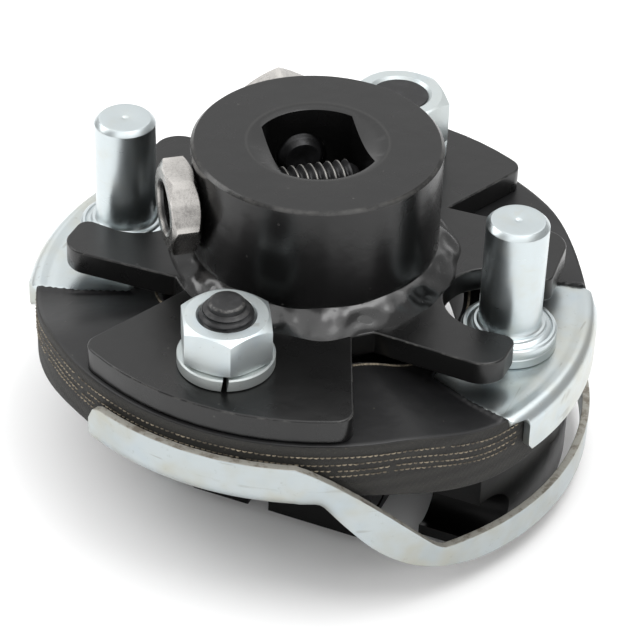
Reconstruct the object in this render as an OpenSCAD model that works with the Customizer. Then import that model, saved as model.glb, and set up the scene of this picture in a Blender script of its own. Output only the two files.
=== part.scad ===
// Flexible disc coupling for a steering column.
// Z is the shaft axis, X runs through the two stop pins, Y through the two pad bolts,
// and the origin is the mouth of the lower shaft bore. All sizes are in millimetres.

/* [Upper hub] */
// Outside diameter of the upper hub
hub_od = 38.1; // [37:0.1:39]
// Height of the upper hub, from the underside of the flange plate
hub_len = 24; // [23:0.5:30]
// Round diameter of the double-D shaft bore
bore_d = 19.05; // [18:0.05:19.5]
// Distance across the two flats of the double-D bore
bore_flats = 14.2; // [13.5:0.1:15]
// Diameter of the bore's countersunk mouth
mouth_d = 21.6; // [21.2:0.1:23]
// Depth of the countersunk mouth
mouth_depth = 1.6; // [1:0.1:2]
// Bevel round the hub's top edge
hub_bevel = 0.5; // [0.3:0.1:1]

/* [Set screws] */
// Major diameter of the set screws
screw_d = 7.9; // [7:0.1:8.2]
// Radial clearance of a screw in its tapped hole
thread_gap = 0.04; // [0.02:0.01:0.08]
// Depth of the set screws' axes below the top of the hub
screw_drop = 8.6; // [7.8:0.1:9]
// Direction of the side screw, square to the bore's flats
side_screw_angle = 218; // [210:1:225]
// Distance that the side screw stops short of the far flat
side_screw_gap = 0.6; // [0.3:0.1:2]
// How far the rear screw's point stands into the bore
rear_screw_reach = 1.4; // [0.5:0.1:3]
// Width across flats of the jam nuts
jam_af = 12.7; // [12.2:0.1:12.8]
// Thickness of the side screw's jam nut
jam_t = 4.5; // [4.3:0.1:5.5]
// Thickness of the rear screw's jam nut
rear_jam_t = 5.4; // [5:0.1:6]
// Depth of a screw's outer end inside its jam nut
screw_recess = 1.8; // [0.8:0.1:2.2]
// Hex socket of the set screws, across flats
socket_af = 4; // [3.5:0.1:4.2]

/* [Upper flange] */
// Thickness of the flange plate
plate_t = 4; // [3.5:0.1:5]
// Distance from the disc's edge in to the edge of the pads
pad_inset = 0.9; // [0.5:0.1:2]
// Half of the angle that each bolt pad spans at its edge
pad_half_angle = 30.9; // [29:0.1:32]
// Half width of a pad where it leaves the middle of the plate
pad_root = 13.4; // [12:0.1:14]
// Radius of the plate's middle, round the hub
core_r = 22.4; // [22:0.1:23]
// Distance of the front fingers' outer sides from the pin line
front_finger_y = 16.2; // [15.5:0.1:17]
// Distance of the rear fingers' outer sides from the pin line
rear_finger_y = 21; // [20:0.1:21.5]
// Distance of the finger tips beyond the pin circle
finger_reach = 4; // [3.6:0.1:4.6]
// Clearance of the fingers beside a pin's collar
notch_gap = 0.75; // [0.6:0.05:0.9]
// How far a notch reaches in past the pin
notch_in = 2.3; // [2:0.1:2.7]
// Leg of the weld bead round the hub
weld_leg = 3.3; // [2.6:0.1:3.4]

/* [Flexible disc] */
// Outside diameter of the disc
disc_d = 85.8; // [84.4:0.2:87]
// Thickness of the disc
disc_t = 9.4; // [9:0.1:11]
// Diameter of the disc's middle hole
disc_hole_d = 47; // [44:0.5:48]
// How far the disc's top lies lower at the pins than at the bolts
sag_top = 3; // [2.9:0.05:3.2]
// How far the disc's underside lies lower at the pins than at the bolts
sag_low = 3.9; // [3:0.1:4.4]
// Clearance of the disc round the pins and bolts
disc_gap = 0.3; // [0.2:0.05:0.4]

/* [Stop pins] */
// Radius of the circle that the pins stand on
pin_circle = 32.2; // [32:0.1:32.6]
// Diameter of the pins
pin_d = 9.52; // [9:0.02:10]
// Height of the pins above the disc
pin_rise = 19.2; // [17:0.1:20]
// Bevel of a pin's top
pin_bevel = 0.7; // [0.4:0.1:1]
// Diameter of the collar at a pin's foot
collar_d = 14.6; // [14:0.1:15]
// Thickness of the collar
collar_t = 3.5; // [3:0.1:3.6]
// Diameter of the pin's shank below the collar
shank_d = 8; // [7:0.1:8.4]
// Diameter of the riveted lower end
rivet_d = 12; // [11:0.1:13]
// Thickness of the riveted lower end
rivet_t = 2; // [1.5:0.1:2.5]

/* [Clips] */
// Thickness of the clips' sheet
clip_t = 1.2; // [1:0.1:1.4]
// How far the clips lie below the flange plate
clip_drop = 3; // [2.9:0.1:3.4]
// Outer radius of the fold over the disc's edge
clip_fold = 2.2; // [2:0.1:2.8]
// Height of a clip from the foot of its folded lip
lip_h = 6.9; // [6:0.1:8]
// Half width of a clip at its inner end
clip_in_w = 13.4; // [12.5:0.1:14]
// Half width of a clip at the disc's edge
clip_out_w = 17.9; // [17.4:0.1:18.5]
// Half width of the folded lip
lip_w = 15.4; // [14.5:0.1:16.2]
// Distance of a clip's inner end from the shaft axis
clip_in_r = 25.2; // [24.6:0.1:25.3]

/* [Front pad bolt] */
// Distance of the front bolt from the shaft axis
bolt_circle = 31.3; // [31:0.1:31.8]
// Turn of the front bolt from the middle of its pad
bolt_turn = 0.9; // [0:0.1:1.5]
// Diameter of the front bolt
bolt_d = 8; // [7.6:0.1:8.2]
// Width across flats of the front bolt's head and nut
nut_af = 12.7; // [12.5:0.1:13]
// Thickness of the front nut
nut_t = 6.5; // [6:0.1:8]
// Thickness of the front bolt's head
head_t = 4.7; // [4:0.1:5]
// Outside diameter of the front lock washer
washer_d = 14.4; // [13.8:0.1:14.8]
// Thickness of the front lock washer
washer_t = 2.1; // [1.8:0.1:2.4]
// Width of the split in a lock washer
split_w = 0.9; // [0.5:0.1:1.2]
// How far the threaded part stands above the front nut
thread_stand = 1.4; // [1:0.1:2]
// Diameter of the dog point on the front bolt's end
dog_d = 5.4; // [5:0.1:6]
// Length of the dog point
dog_len = 1.1; // [0.8:0.1:2]

/* [Rear pad bolt] */
// Distance of the rear bolt from the shaft axis
rear_bolt_circle = 31.9; // [31.6:0.1:32.2]
// Turn of the rear bolt from the middle of its pad
rear_bolt_turn = 1.7; // [0.9:0.1:2.2]
// Diameter of the rear bolt, one size larger than the front one
rear_bolt_d = 9.5; // [9:0.1:9.8]
// Width across flats of the rear bolt's head and nut
rear_nut_af = 14.3; // [13.8:0.1:14.6]
// Thickness of the rear nut
rear_nut_t = 8.4; // [7.8:0.1:9]
// Thickness of the rear bolt's head
rear_head_t = 5.2; // [4.6:0.1:5.6]
// Outside diameter of the rear lock washer
rear_washer_d = 17.2; // [16.6:0.1:17.6]
// Thickness of the rear lock washer
rear_washer_t = 2.4; // [2.1:0.1:2.6]
// Depth of the rear bolt's end below the top of its nut
rear_bolt_drop = 0.4; // [0.2:0.1:1]

/* [Retainer strap] */
// Thickness of the strap's sheet
strap_t = 1.2; // [1:0.1:1.4]
// Gap between the strap and the disc's edge
strap_gap = 0.6; // [0.4:0.05:0.7]
// Depth of the strap's upper edge below the disc's top
strap_top_drop = 2.8; // [2.4:0.1:3.2]
// Height of the loop's upper edge above the floor
loop_top = 9; // [8.6:0.1:9.8]
// Height of the loop's lower edge above the floor
loop_bottom = 3.9; // [3.4:0.1:4.6]
// Angle from the pin line at which the strap starts to drop
drop_start_angle = 70; // [69:0.5:71]
// Angle from the pin line at which the loop is at its lowest
drop_end_angle = 41; // [40:0.5:44]
// Angle from the pin line to the strap's free ends
strap_end_angle = 114; // [112:0.5:116]
// Distance of the strap's clamped web from the shaft axis
web_in_r = 25.5; // [24.8:0.1:26.5]

/* [Lower flange] */
// Height of the lower hub, up to the yoke
lower_hub_h = 11.7; // [11.4:0.1:14]
// Outside diameter of the lower hub
lower_hub_d = 36; // [34:0.5:37]
// Thickness of the yoke
yoke_t = 5; // [4:0.1:6]
// Half width of the yoke's ears
ear_w = 10.5; // [9.5:0.1:10.6]
// Distance from a pin's centre to the end of its ear
ear_end = 9.5; // [8.6:0.1:9.8]
// Diameter of the lower, splined bore at the spline's crests
lower_bore_d = 19.05; // [18.5:0.05:19.2]
// Width of the clamp's slot
slot_w = 3.4; // [2:0.1:3.6]
// Distance of the slot from the shaft axis, towards the boss
slot_x = 2.2; // [0:0.1:2.6]
// Half width of the boss under the right-hand ear
boss_w = 20; // [18:0.1:20.5]
// Distance of the boss's inner face from the shaft axis
boss_in = 26.8; // [26.2:0.1:28]
// Distance from the disc's edge in to the boss's outer face
boss_inset = 1.6; // [1.5:0.1:2.3]
// Distance of the clamp block's front face from the shaft axis
block_front = 24.8; // [24.4:0.1:25.2]
// Distance of the clamp block's left side from the shaft axis
block_left = 13; // [12.5:0.1:14]
// Distance of the clamp block's right side from the shaft axis
block_right = 19.5; // [19:0.1:20]
// Height of the clamp block's underside above the floor
block_lift = 2; // [1:0.1:2.4]
// Diameter of the clamp bolt
pinch_d = 8; // [7.5:0.1:8.2]
// Width across flats of the clamp bolt's head
pinch_af = 12.7; // [12:0.1:12.8]
// Distance of the clamp bolt from the shaft axis
pinch_y = 18; // [17.6:0.1:18.2]

/* [Hidden] */
$fn = 96;

// Small overlap of a cutting shape past the face that it cuts
e = 0.5;
// Sides of the finest small circles
small_fn = 48;
// Steps in a rounded corner
arc_steps = 8;

// Heights, from the floor up
z_yoke = lower_hub_h + yoke_t;
z_disc = z_yoke + sag_low;
z_plate = z_disc + disc_t;
z_plate_top = z_plate + plate_t;
z_top = z_plate + hub_len;
z_screw = z_top - screw_drop;
z_clip_top = z_plate - clip_drop;
z_pocket = z_clip_top - clip_t;
z_nut_top = z_plate_top + washer_t + nut_t;
z_rear_nut_top = z_plate_top + rear_washer_t + rear_nut_t;
z_web = z_disc - strap_t;
z_lip = z_clip_top - lip_h;
z_pinch = block_lift + 5.4;

// Radii that other sizes set
disc_r = disc_d / 2;
pad_r = disc_r - pad_inset;
notch_r = collar_d / 2 + notch_gap;
lip_in_r = disc_r + disc_gap;
lip_out_r = lip_in_r + clip_t;
boss_out = disc_r - boss_inset;
strap_in_r = disc_r + strap_gap;
strap_out_r = strap_in_r + strap_t;
rear_screw_angle = side_screw_angle - 90;

// Small features
plate_corner = 2.5;
finger_corner = 3.2;
nut_crown = 0.9;
collar_bevel = 0.6;
shank_play = 0.05;
socket_depth = 3.5;
cup_depth = 0.9;
nut_mouth = 0.65;
rear_nut_mouth = 0.3;
strap_corner = 2.8;
strap_bend = 3;
drop_ease = 1.4;
rise_ease = 4;
loop_flat_angle = 12;
ramp_steps = 24;
ramp_lap_angle = 1.5;
lap_step = 0.04;
pinch_hole_play = 0.1;
block_corner = 4.4;
pinch_head_t = 5;
seat_depth = 8.4;
sag_steps = 12;
sag_from_angle = 24;
sag_to_angle = 62;
sag_top_from_angle = 26;
sag_top_to_angle = 51;
yoke_lip = 3;

// Vector of length one
function unit(v) = v / norm(v);

// Points of the arc of radius r that rounds corner p between neighbours a and b
function corner(p, a, b, r) =
    let (u = unit(a - p), v = unit(b - p), half = acos(u * v) / 2,
         c = p + unit(u + v) * r / sin(half),
         from = p + u * r / tan(half) - c, to = p + v * r / tan(half) - c,
         a0 = atan2(from[1], from[0]), a1 = atan2(to[1], to[0]),
         turn = ((a1 - a0 + 540) % 360) - 180)
    [for (i = [0 : arc_steps]) c + r * [cos(a0 + turn * i / arc_steps), sin(a0 + turn * i / arc_steps)]];

// Outline through pts, each corner rounded by its radius in rs
function rounded(pts, rs) =
    let (n = len(pts))
    [for (i = [0 : n - 1]) each (rs[i] > 0
        ? corner(pts[i], pts[(i + n - 1) % n], pts[(i + 1) % n], rs[i])
        : [pts[i]])];

// Points on a circle of radius r, from angle a0 to angle a1
function arc(r, a0, a1, steps, c = [0, 0]) =
    [for (i = [0 : steps]) c + r * [cos(a0 + (a1 - a0) * i / steps), sin(a0 + (a1 - a0) * i / steps)]];

// Hexagonal prism with bevelled corners on its far end, and on both ends if double
module hex_prism(af, h, double = false) {
    corner_r = af / sqrt(3);
    intersection() {
        cylinder(r = corner_r, h = h, $fn = 6);
        rotate_extrude($fn = small_fn)
            polygon([
                [0, 0],
                [double ? af / 2 : corner_r + e, 0],
                [corner_r + (double ? 0 : e), double ? nut_crown : 0],
                [corner_r + (double ? 0 : e), h - nut_crown],
                [corner_r, h - nut_crown],
                [af / 2, h],
                [0, h]
            ]);
    }
}

// Split spring washer that lies on z = 0
module split_washer(outer_d, inner_d, t) {
    difference() {
        cylinder(d = outer_d, h = t);
        translate([0, 0, -e]) cylinder(d = inner_d, h = t + 2 * e);
        translate([0, -split_w / 2, -e]) cube([outer_d, split_w, t + 2 * e]);
    }
}

// Puts its children on the axis of the front pad bolt (side -1) or the rear one (side 1)
module at_pad_bolt(side, z = 0) {
    rotate(side < 0 ? -bolt_turn : -rear_bolt_turn)
        translate([0, side < 0 ? -bolt_circle : rear_bolt_circle, z]) children();
}

// Clearance hole of a pad bolt, from height z on
module pad_bolt_hole(side, z, h) {
    at_pad_bolt(side, z) cylinder(d = (side < 0 ? bolt_d : rear_bolt_d) + 2 * disc_gap, h = h, $fn = small_fn);
}

// Double-D outline of the upper bore
module bore_outline() {
    rotate(side_screw_angle)
        intersection() {
            circle(d = bore_d);
            square([bore_flats, bore_d + 2 * e], center = true);
        }
}

// Tapped hole for a set screw in the hub's wall, at angle a
module screw_hole(a) {
    translate([0, 0, z_screw]) rotate([0, 0, a]) rotate([0, 90, 0])
        cylinder(d = screw_d + 2 * thread_gap, h = hub_od, $fn = small_fn);
}

module upper_hub() {
    color([0.16, 0.16, 0.16])
    difference() {
        rotate_extrude()
            polygon([
                [0, z_plate],
                [hub_od / 2, z_plate],
                [hub_od / 2, z_top - hub_bevel],
                [hub_od / 2 - hub_bevel, z_top],
                [0, z_top]
            ]);
        translate([0, 0, z_plate - e]) linear_extrude(hub_len + 2 * e) bore_outline();
        translate([0, 0, z_top - mouth_depth])
            cylinder(d1 = bore_flats, d2 = mouth_d, h = mouth_depth);
        translate([0, 0, z_top]) cylinder(d = mouth_d, h = e);
        screw_hole(side_screw_angle);
        screw_hole(rear_screw_angle);
    }
}

// Set screw that runs along X from x0 to x1, with its socket at x1
module set_screw(x0, x1) {
    rotate([0, 90, 0])
    difference() {
        translate([0, 0, x0]) rotate_extrude($fn = small_fn)
            polygon([
                [0, 0],
                [screw_d / 2 - cup_depth, 0],
                [screw_d / 2, cup_depth],
                [screw_d / 2, x1 - x0 - cup_depth / 2],
                [screw_d / 2 - cup_depth / 2, x1 - x0],
                [0, x1 - x0]
            ]);
        translate([0, 0, x1 - socket_depth])
            cylinder(r = socket_af / sqrt(3), h = socket_depth + e, $fn = 6);
        translate([0, 0, x0 - e])
            cylinder(r1 = screw_d / 2 - 2 * cup_depth + e, r2 = 0, h = cup_depth + 2 * e, $fn = small_fn);
    }
}

// Outer ends of the set screws, inside their nuts
screw_end = hub_od / 2 + thread_gap + jam_t - screw_recess;

module set_screw_side() {
    color([0.2, 0.2, 0.2])
    translate([0, 0, z_screw]) rotate([0, 0, side_screw_angle])
        set_screw(side_screw_gap - bore_flats / 2, screw_end);
}

module set_screw_rear() {
    color([0.2, 0.2, 0.2])
    translate([0, 0, z_screw]) rotate([0, 0, rear_screw_angle])
        set_screw(bore_d / 2 - rear_screw_reach, screw_end);
}

// Jam nut of thickness t against the hub at angle a, turned about its screw
module jam_nut(a, t, turn) {
    color([0.72, 0.71, 0.69])
    translate([0, 0, z_screw]) rotate([0, 0, a])
    difference() {
        translate([hub_od / 2 + thread_gap, 0, 0]) rotate([0, 90, 0]) rotate(turn)
            hex_prism(jam_af, t, true);
        rotate([0, 90, 0]) cylinder(d = screw_d + 2 * thread_gap, h = hub_od, $fn = small_fn);
    }
}

// Outline of one bolt pad, towards -Y
function pad_points() =
    let (rim = arc(pad_r, -90 - pad_half_angle, -90 + pad_half_angle, 14),
         last = len(rim) - 1,
         pts = concat([[-pad_root, 0], [-pad_root, -core_r * 0.77]], rim,
                      [[pad_root, -core_r * 0.77], [pad_root, 0]]),
         rs = [for (i = [0 : len(pts) - 1]) (i == 2 || i == last + 2) ? plate_corner : 0])
    rounded(pts, rs);

// Outline of one finger with its outer side at y, beside the pin on side sx, on side sy of the pin line
function finger_points(y, sx, sy) =
    let (tip = pin_circle + finger_reach)
    [for (p = rounded(
        [[core_r / 3, 0], [core_r / 3, y * 0.93], [tip, y], [tip - 0.4, 0]],
        [0, 0, finger_corner, 0])) [p[0] * sx, p[1] * sy]];

module upper_flange() {
    color([0.2, 0.2, 0.2])
    difference() {
        translate([0, 0, z_plate]) {
            cylinder(r = core_r, h = plate_t);
            for (side = [0, 1]) rotate(180 * side) linear_extrude(plate_t) polygon(pad_points());
            for (side = [-1, 1]) {
                linear_extrude(plate_t) polygon(finger_points(front_finger_y, side, -1));
                linear_extrude(plate_t) polygon(finger_points(rear_finger_y, side, 1));
            }
        }
        translate([0, 0, z_plate - e]) {
            cylinder(d = hub_od + 2 * shank_play, h = plate_t + 2 * e);
            for (side = [-1, 1]) {
                translate([side * (pin_circle - notch_in), 0, 0])
                    cylinder(r = notch_r, h = plate_t + 2 * e);
                translate([side > 0 ? pin_circle - notch_in : notch_in - 2 * pin_circle, -notch_r, 0])
                    cube([pin_circle, 2 * notch_r, plate_t + 2 * e]);
            }
        }
        for (side = [-1, 1]) pad_bolt_hole(side, z_plate - e, plate_t + 2 * e);
    }
}

module weld_bead() {
    color([0.24, 0.24, 0.24])
    rotate_extrude()
        polygon(concat(
            [[hub_od / 2 + shank_play, z_plate_top]],
            [[hub_od / 2 + weld_leg, z_plate_top]],
            [[hub_od / 2 + weld_leg * 0.72, z_plate_top + weld_leg * 0.5]],
            [[hub_od / 2 + weld_leg * 0.4, z_plate_top + weld_leg * 0.82]],
            [[hub_od / 2 + shank_play, z_plate_top + weld_leg]]));
}

// Outline of the right-hand clip seen from above, grown by g on its three inner sides
function clip_points(g) = [
    [clip_in_r - g, -clip_in_w - g],
    [pin_circle, -(clip_in_w * 0.35 + clip_out_w * 0.65) - g],
    [disc_r * 0.88, -clip_out_w - g],
    [disc_r * 0.92, -clip_out_w - g],
    [disc_r * 0.945, -lip_w - g],
    [disc_r * 1.2, -lip_w - g],
    [disc_r * 1.2, lip_w + g],
    [disc_r * 0.945, lip_w + g],
    [disc_r * 0.92, clip_out_w + g],
    [disc_r * 0.88, clip_out_w + g],
    [pin_circle, clip_in_w * 0.35 + clip_out_w * 0.65 + g],
    [clip_in_r - g, clip_in_w + g]
];

// Section of a clip: flat top, fold and lip
function clip_section() =
    let (c = [lip_out_r - clip_fold, z_clip_top - clip_fold])
    concat([[0, z_clip_top]],
           arc(clip_fold, 90, 0, arc_steps, c),
           [[lip_out_r, z_lip], [lip_in_r, z_lip]],
           arc(clip_fold - clip_t, 0, 90, arc_steps, c),
           [[0, z_pocket]]);

// Section of what is taken off the disc's top where a clip presses into it
function pocket_section() =
    let (b = clip_fold - clip_t, c = [disc_r - b, z_pocket - b])
    concat([[0, z_plate + e], [0, z_pocket]],
           arc(b, 90, 0, arc_steps, c),
           [[disc_r + e, z_pocket - b], [disc_r + e, z_plate + e]]);

// Angle between direction a and the pin line, from 0 to 90
function off_pins(a) = acos(abs(cos(a)));

// Share of the sag at direction a: 1 up to angle lo from the pin line, 0 from angle hi on
function sag_share(a, lo, hi) =
    let (t = min(1, max(0, (off_pins(a) - lo) / (hi - lo))))
    1 - t * t * (3 - 2 * t);

// Directions of the disc's sectors
sag_quarter = concat([0], [for (i = [0 : sag_steps]) sag_from_angle + (sag_to_angle - sag_from_angle) * i / sag_steps]);
sag_half = concat(sag_quarter, [90], [for (i = [len(sag_quarter) - 1 : -1 : 1]) 180 - sag_quarter[i]]);
sag_ring = concat(sag_half, [for (a = sag_half) a + 180]);

// Body whose top and underside sag towards the pins, cut to the disc's round shape afterwards
module saddle() {
    n = len(sag_ring);
    polyhedron(
        points = [for (a = sag_ring) each
            let (top = z_plate - sag_top * sag_share(a, sag_top_from_angle, sag_top_to_angle),
                 low = z_disc - sag_low * sag_share(a, sag_from_angle, sag_to_angle),
                 u = [cos(a), sin(a)] * disc_hole_d / 3, v = [cos(a), sin(a)] * disc_r * 1.2)
            [[u[0], u[1], top], [v[0], v[1], top], [v[0], v[1], low], [u[0], u[1], low]]],
        faces = [for (i = [0 : n - 1]) each
            let (p = 4 * i, q = 4 * ((i + 1) % n))
            [[p, q, q + 1], [p, q + 1, p + 1], [p + 3, p + 2, q + 2], [p + 3, q + 2, q + 3],
             [p + 1, q + 1, q + 2, p + 2], [q, p, p + 3, q + 3]]]);
}

// Rounding of the disc's lower edge inside the strap's bend, on the -Y side
module strap_relief() {
    b = strap_bend - strap_t;
    intersection() {
        rotate_extrude()
            polygon(concat([[disc_r - b, z_disc - e], [disc_r + e, z_disc - e], [disc_r + e, z_disc + b]],
                           arc(b, 0, -90, arc_steps, [disc_r - b, z_disc + b])));
        seen_along(-strap_mid, [[-disc_r, z_disc - e], [disc_r, z_disc - e],
                                [disc_r, z_disc + b], [-disc_r, z_disc + b]]);
    }
}

module flex_disc() {
    color([0.13, 0.13, 0.14])
    difference() {
        intersection() {
            saddle();
            translate([0, 0, z_yoke - e]) cylinder(d = disc_d, h = z_plate - z_yoke + 2 * e);
        }
        translate([0, 0, z_yoke - e]) cylinder(d = disc_hole_d, h = z_plate - z_yoke + 2 * e);
        for (side = [0, 1]) {
            mirror([side, 0, 0]) {
                intersection() {
                    rotate_extrude() polygon(pocket_section());
                    translate([0, 0, z_disc]) linear_extrude(2 * disc_t) polygon(clip_points(disc_gap));
                }
                translate([pin_circle, 0, z_yoke - e])
                    cylinder(d = shank_d + 2 * disc_gap, h = z_plate - z_yoke + 2 * e, $fn = small_fn);
            }
            mirror([0, side, 0]) strap_relief();
        }
        for (side = [-1, 1]) pad_bolt_hole(side, z_yoke - e, z_plate - z_yoke + 2 * e);
    }
}

module pin_clip() {
    difference() {
        intersection() {
            rotate_extrude() polygon(clip_section());
            translate([0, 0, lower_hub_h]) linear_extrude(2 * (disc_t + yoke_t)) polygon(clip_points(0));
        }
        translate([pin_circle, 0, z_pocket - e])
            cylinder(d = shank_d + 2 * shank_play, h = clip_t + 2 * e, $fn = small_fn);
    }
}

module pin_clip_left() { color([0.78, 0.79, 0.76]) mirror([1, 0, 0]) pin_clip(); }
module pin_clip_right() { color([0.78, 0.79, 0.76]) pin_clip(); }

// Stop pin: turned in one piece with its collar, and riveted under the yoke
module stop_pin(side) {
    color([0.8, 0.83, 0.82])
    translate([side * pin_circle, 0, 0])
    rotate_extrude()
        polygon([
            [0, lower_hub_h - rivet_t],
            [rivet_d / 2 - rivet_t / 2, lower_hub_h - rivet_t],
            [rivet_d / 2, lower_hub_h - rivet_t / 2],
            [rivet_d / 2, lower_hub_h],
            [shank_d / 2, lower_hub_h],
            [shank_d / 2, z_clip_top],
            [collar_d / 2, z_clip_top],
            [collar_d / 2, z_clip_top + collar_t - collar_bevel],
            [collar_d / 2 - collar_bevel, z_clip_top + collar_t],
            [pin_d / 2, z_clip_top + collar_t],
            [pin_d / 2, z_plate + pin_rise - pin_bevel],
            [pin_d / 2 - pin_bevel, z_plate + pin_rise],
            [0, z_plate + pin_rise]
        ]);
}

module stop_pin_left() { stop_pin(-1); }
module stop_pin_right() { stop_pin(1); }

// Front pad bolt, head down, with a dog point on its threaded end
module pad_bolt_front() {
    end = z_nut_top + thread_stand - z_web;
    color([0.2, 0.2, 0.2])
    at_pad_bolt(-1, z_web) {
        rotate([180, 0, 0]) rotate(-11) hex_prism(nut_af, head_t);
        rotate_extrude($fn = small_fn)
            polygon([
                [0, 0],
                [bolt_d / 2, 0],
                [bolt_d / 2, end - cup_depth],
                [bolt_d / 2 - cup_depth, end],
                [dog_d / 2, end],
                [dog_d / 2, end + dog_len],
                [0, end + dog_len]
            ]);
    }
}

// Rear pad bolt, head down, its flat end just inside its nut
module pad_bolt_rear() {
    end = z_rear_nut_top - rear_bolt_drop - z_web;
    color([0.2, 0.2, 0.2])
    at_pad_bolt(1, z_web) {
        rotate([180, 0, 0]) rotate(-11) hex_prism(rear_nut_af, rear_head_t);
        rotate_extrude($fn = small_fn)
            polygon([
                [0, 0],
                [rear_bolt_d / 2, 0],
                [rear_bolt_d / 2, end - rear_bolt_drop],
                [rear_bolt_d / 2 - rear_bolt_drop, end],
                [0, end]
            ]);
    }
}

// Hexagon nut on a bolt of diameter d, with a countersunk mouth
module hex_nut(af, t, d, mouth) {
    color([0.8, 0.84, 0.83])
    difference() {
        hex_prism(af, t);
        translate([0, 0, -e]) cylinder(d = d + 2 * thread_gap, h = t + 2 * e, $fn = small_fn);
        translate([0, 0, t - mouth]) cylinder(d1 = d, d2 = d + 2 * (mouth + e), h = mouth + e, $fn = small_fn);
    }
}

module hex_nut_front() {
    at_pad_bolt(-1, z_plate_top + washer_t) hex_nut(nut_af, nut_t, bolt_d, nut_mouth);
}

module hex_nut_rear() {
    at_pad_bolt(1, z_plate_top + rear_washer_t) rotate(12) hex_nut(rear_nut_af, rear_nut_t, rear_bolt_d, rear_nut_mouth);
}

module lock_washer_front() {
    color([0.76, 0.78, 0.77])
    at_pad_bolt(-1, z_plate_top) rotate(-66) split_washer(washer_d, bolt_d + 2 * disc_gap, washer_t);
}

module lock_washer_rear() {
    color([0.76, 0.78, 0.77])
    at_pad_bolt(1, z_plate_top) rotate(66) split_washer(rear_washer_d, rear_bolt_d + 2 * disc_gap, rear_washer_t);
}

// Heights of the strap's edges at angle a from the pin line
strap_hi = z_plate - strap_top_drop;
function drop_share(a) = min(1, max(0, (a - drop_end_angle) / (drop_start_angle - drop_end_angle)));
function strap_top(a) = loop_top + (strap_hi - lap_step - loop_top) * (1 - pow(1 - drop_share(a), drop_ease));
function rise_share(a) = min(1, max(0, (drop_start_angle - 4 - a) / (drop_start_angle - 4 - loop_flat_angle)));
strap_lo = z_web + strap_bend + 10 * lap_step;
function strap_low(a) = strap_lo + (loop_bottom - strap_lo) * (1 - pow(1 - rise_share(a), rise_ease));

// Block whose outline, seen along the radius at angle a0, is the polygon pts
module seen_along(a0, pts) {
    rotate([0, 0, a0]) rotate([90, 0, 90]) linear_extrude(2 * disc_r) polygon(pts);
}

// Band of one half of the strap, from the middle of its loop to its clamped end on the -Y side
module strap_ramp() {
    angles = concat([for (i = [0 : ramp_steps]) -ramp_lap_angle + (drop_start_angle + ramp_lap_angle) * i / ramp_steps],
                    [drop_start_angle + ramp_lap_angle]);
    rev = [for (i = [len(angles) - 1 : -1 : 0]) angles[i]];
    mid = drop_start_angle / 2;
    intersection() {
        difference() {
            cylinder(r = strap_out_r, h = z_plate);
            translate([0, 0, -e]) cylinder(r = strap_in_r, h = z_plate + 2 * e);
        }
        seen_along(-mid, concat(
            [for (a = angles) [strap_out_r * sin(mid - a), strap_low(a)]],
            [for (a = rev) [strap_out_r * sin(mid - a), strap_top(a)]]));
    }
}

// Middle of the strap's clamped end, and its half lengths
strap_mid = (strap_end_angle + drop_start_angle) / 2;
strap_left = strap_out_r * sin(strap_end_angle - strap_mid);
strap_right = strap_out_r * sin(strap_mid - drop_start_angle - ramp_lap_angle / 4);

// Web and band of the strap's clamped end, on the -Y side
module strap_clamped_end() {
    intersection() {
        rotate_extrude()
            polygon(concat(
                [[web_in_r, z_web]],
                arc(strap_bend, -90, 0, arc_steps, [strap_out_r - strap_bend, z_web + strap_bend]),
                [[strap_out_r, strap_hi], [strap_in_r, strap_hi]],
                arc(strap_bend - strap_t, 0, -90, arc_steps, [strap_out_r - strap_bend, z_web + strap_bend]),
                [[web_in_r, z_disc]]));
        seen_along(-strap_mid, rounded(
            [[-strap_left, z_web], [strap_right, z_web], [strap_right, strap_hi], [-strap_left, strap_hi]],
            [strap_corner, 0, 0, strap_corner]));
        linear_extrude(z_plate) polygon(concat(
            [[0, 0]], arc(disc_d, -180 + sag_to_angle, -sag_to_angle, arc_steps)));
    }
}

module retainer_strap() {
    color([0.78, 0.81, 0.82])
    difference() {
        for (side = [0, 1]) mirror([0, side, 0]) {
            strap_clamped_end();
            strap_ramp();
        }
        for (side = [-1, 1]) pad_bolt_hole(side, z_web - e, strap_t + 2 * e);
    }
}

// Outline of the clamp block seen from above
function block_points() = [
    [-block_left, -block_front + block_corner / 2],
    [-block_left + block_corner, -block_front],
    [block_right, -block_front],
    [block_right, -9],
    [-block_left, -9]
];

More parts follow.
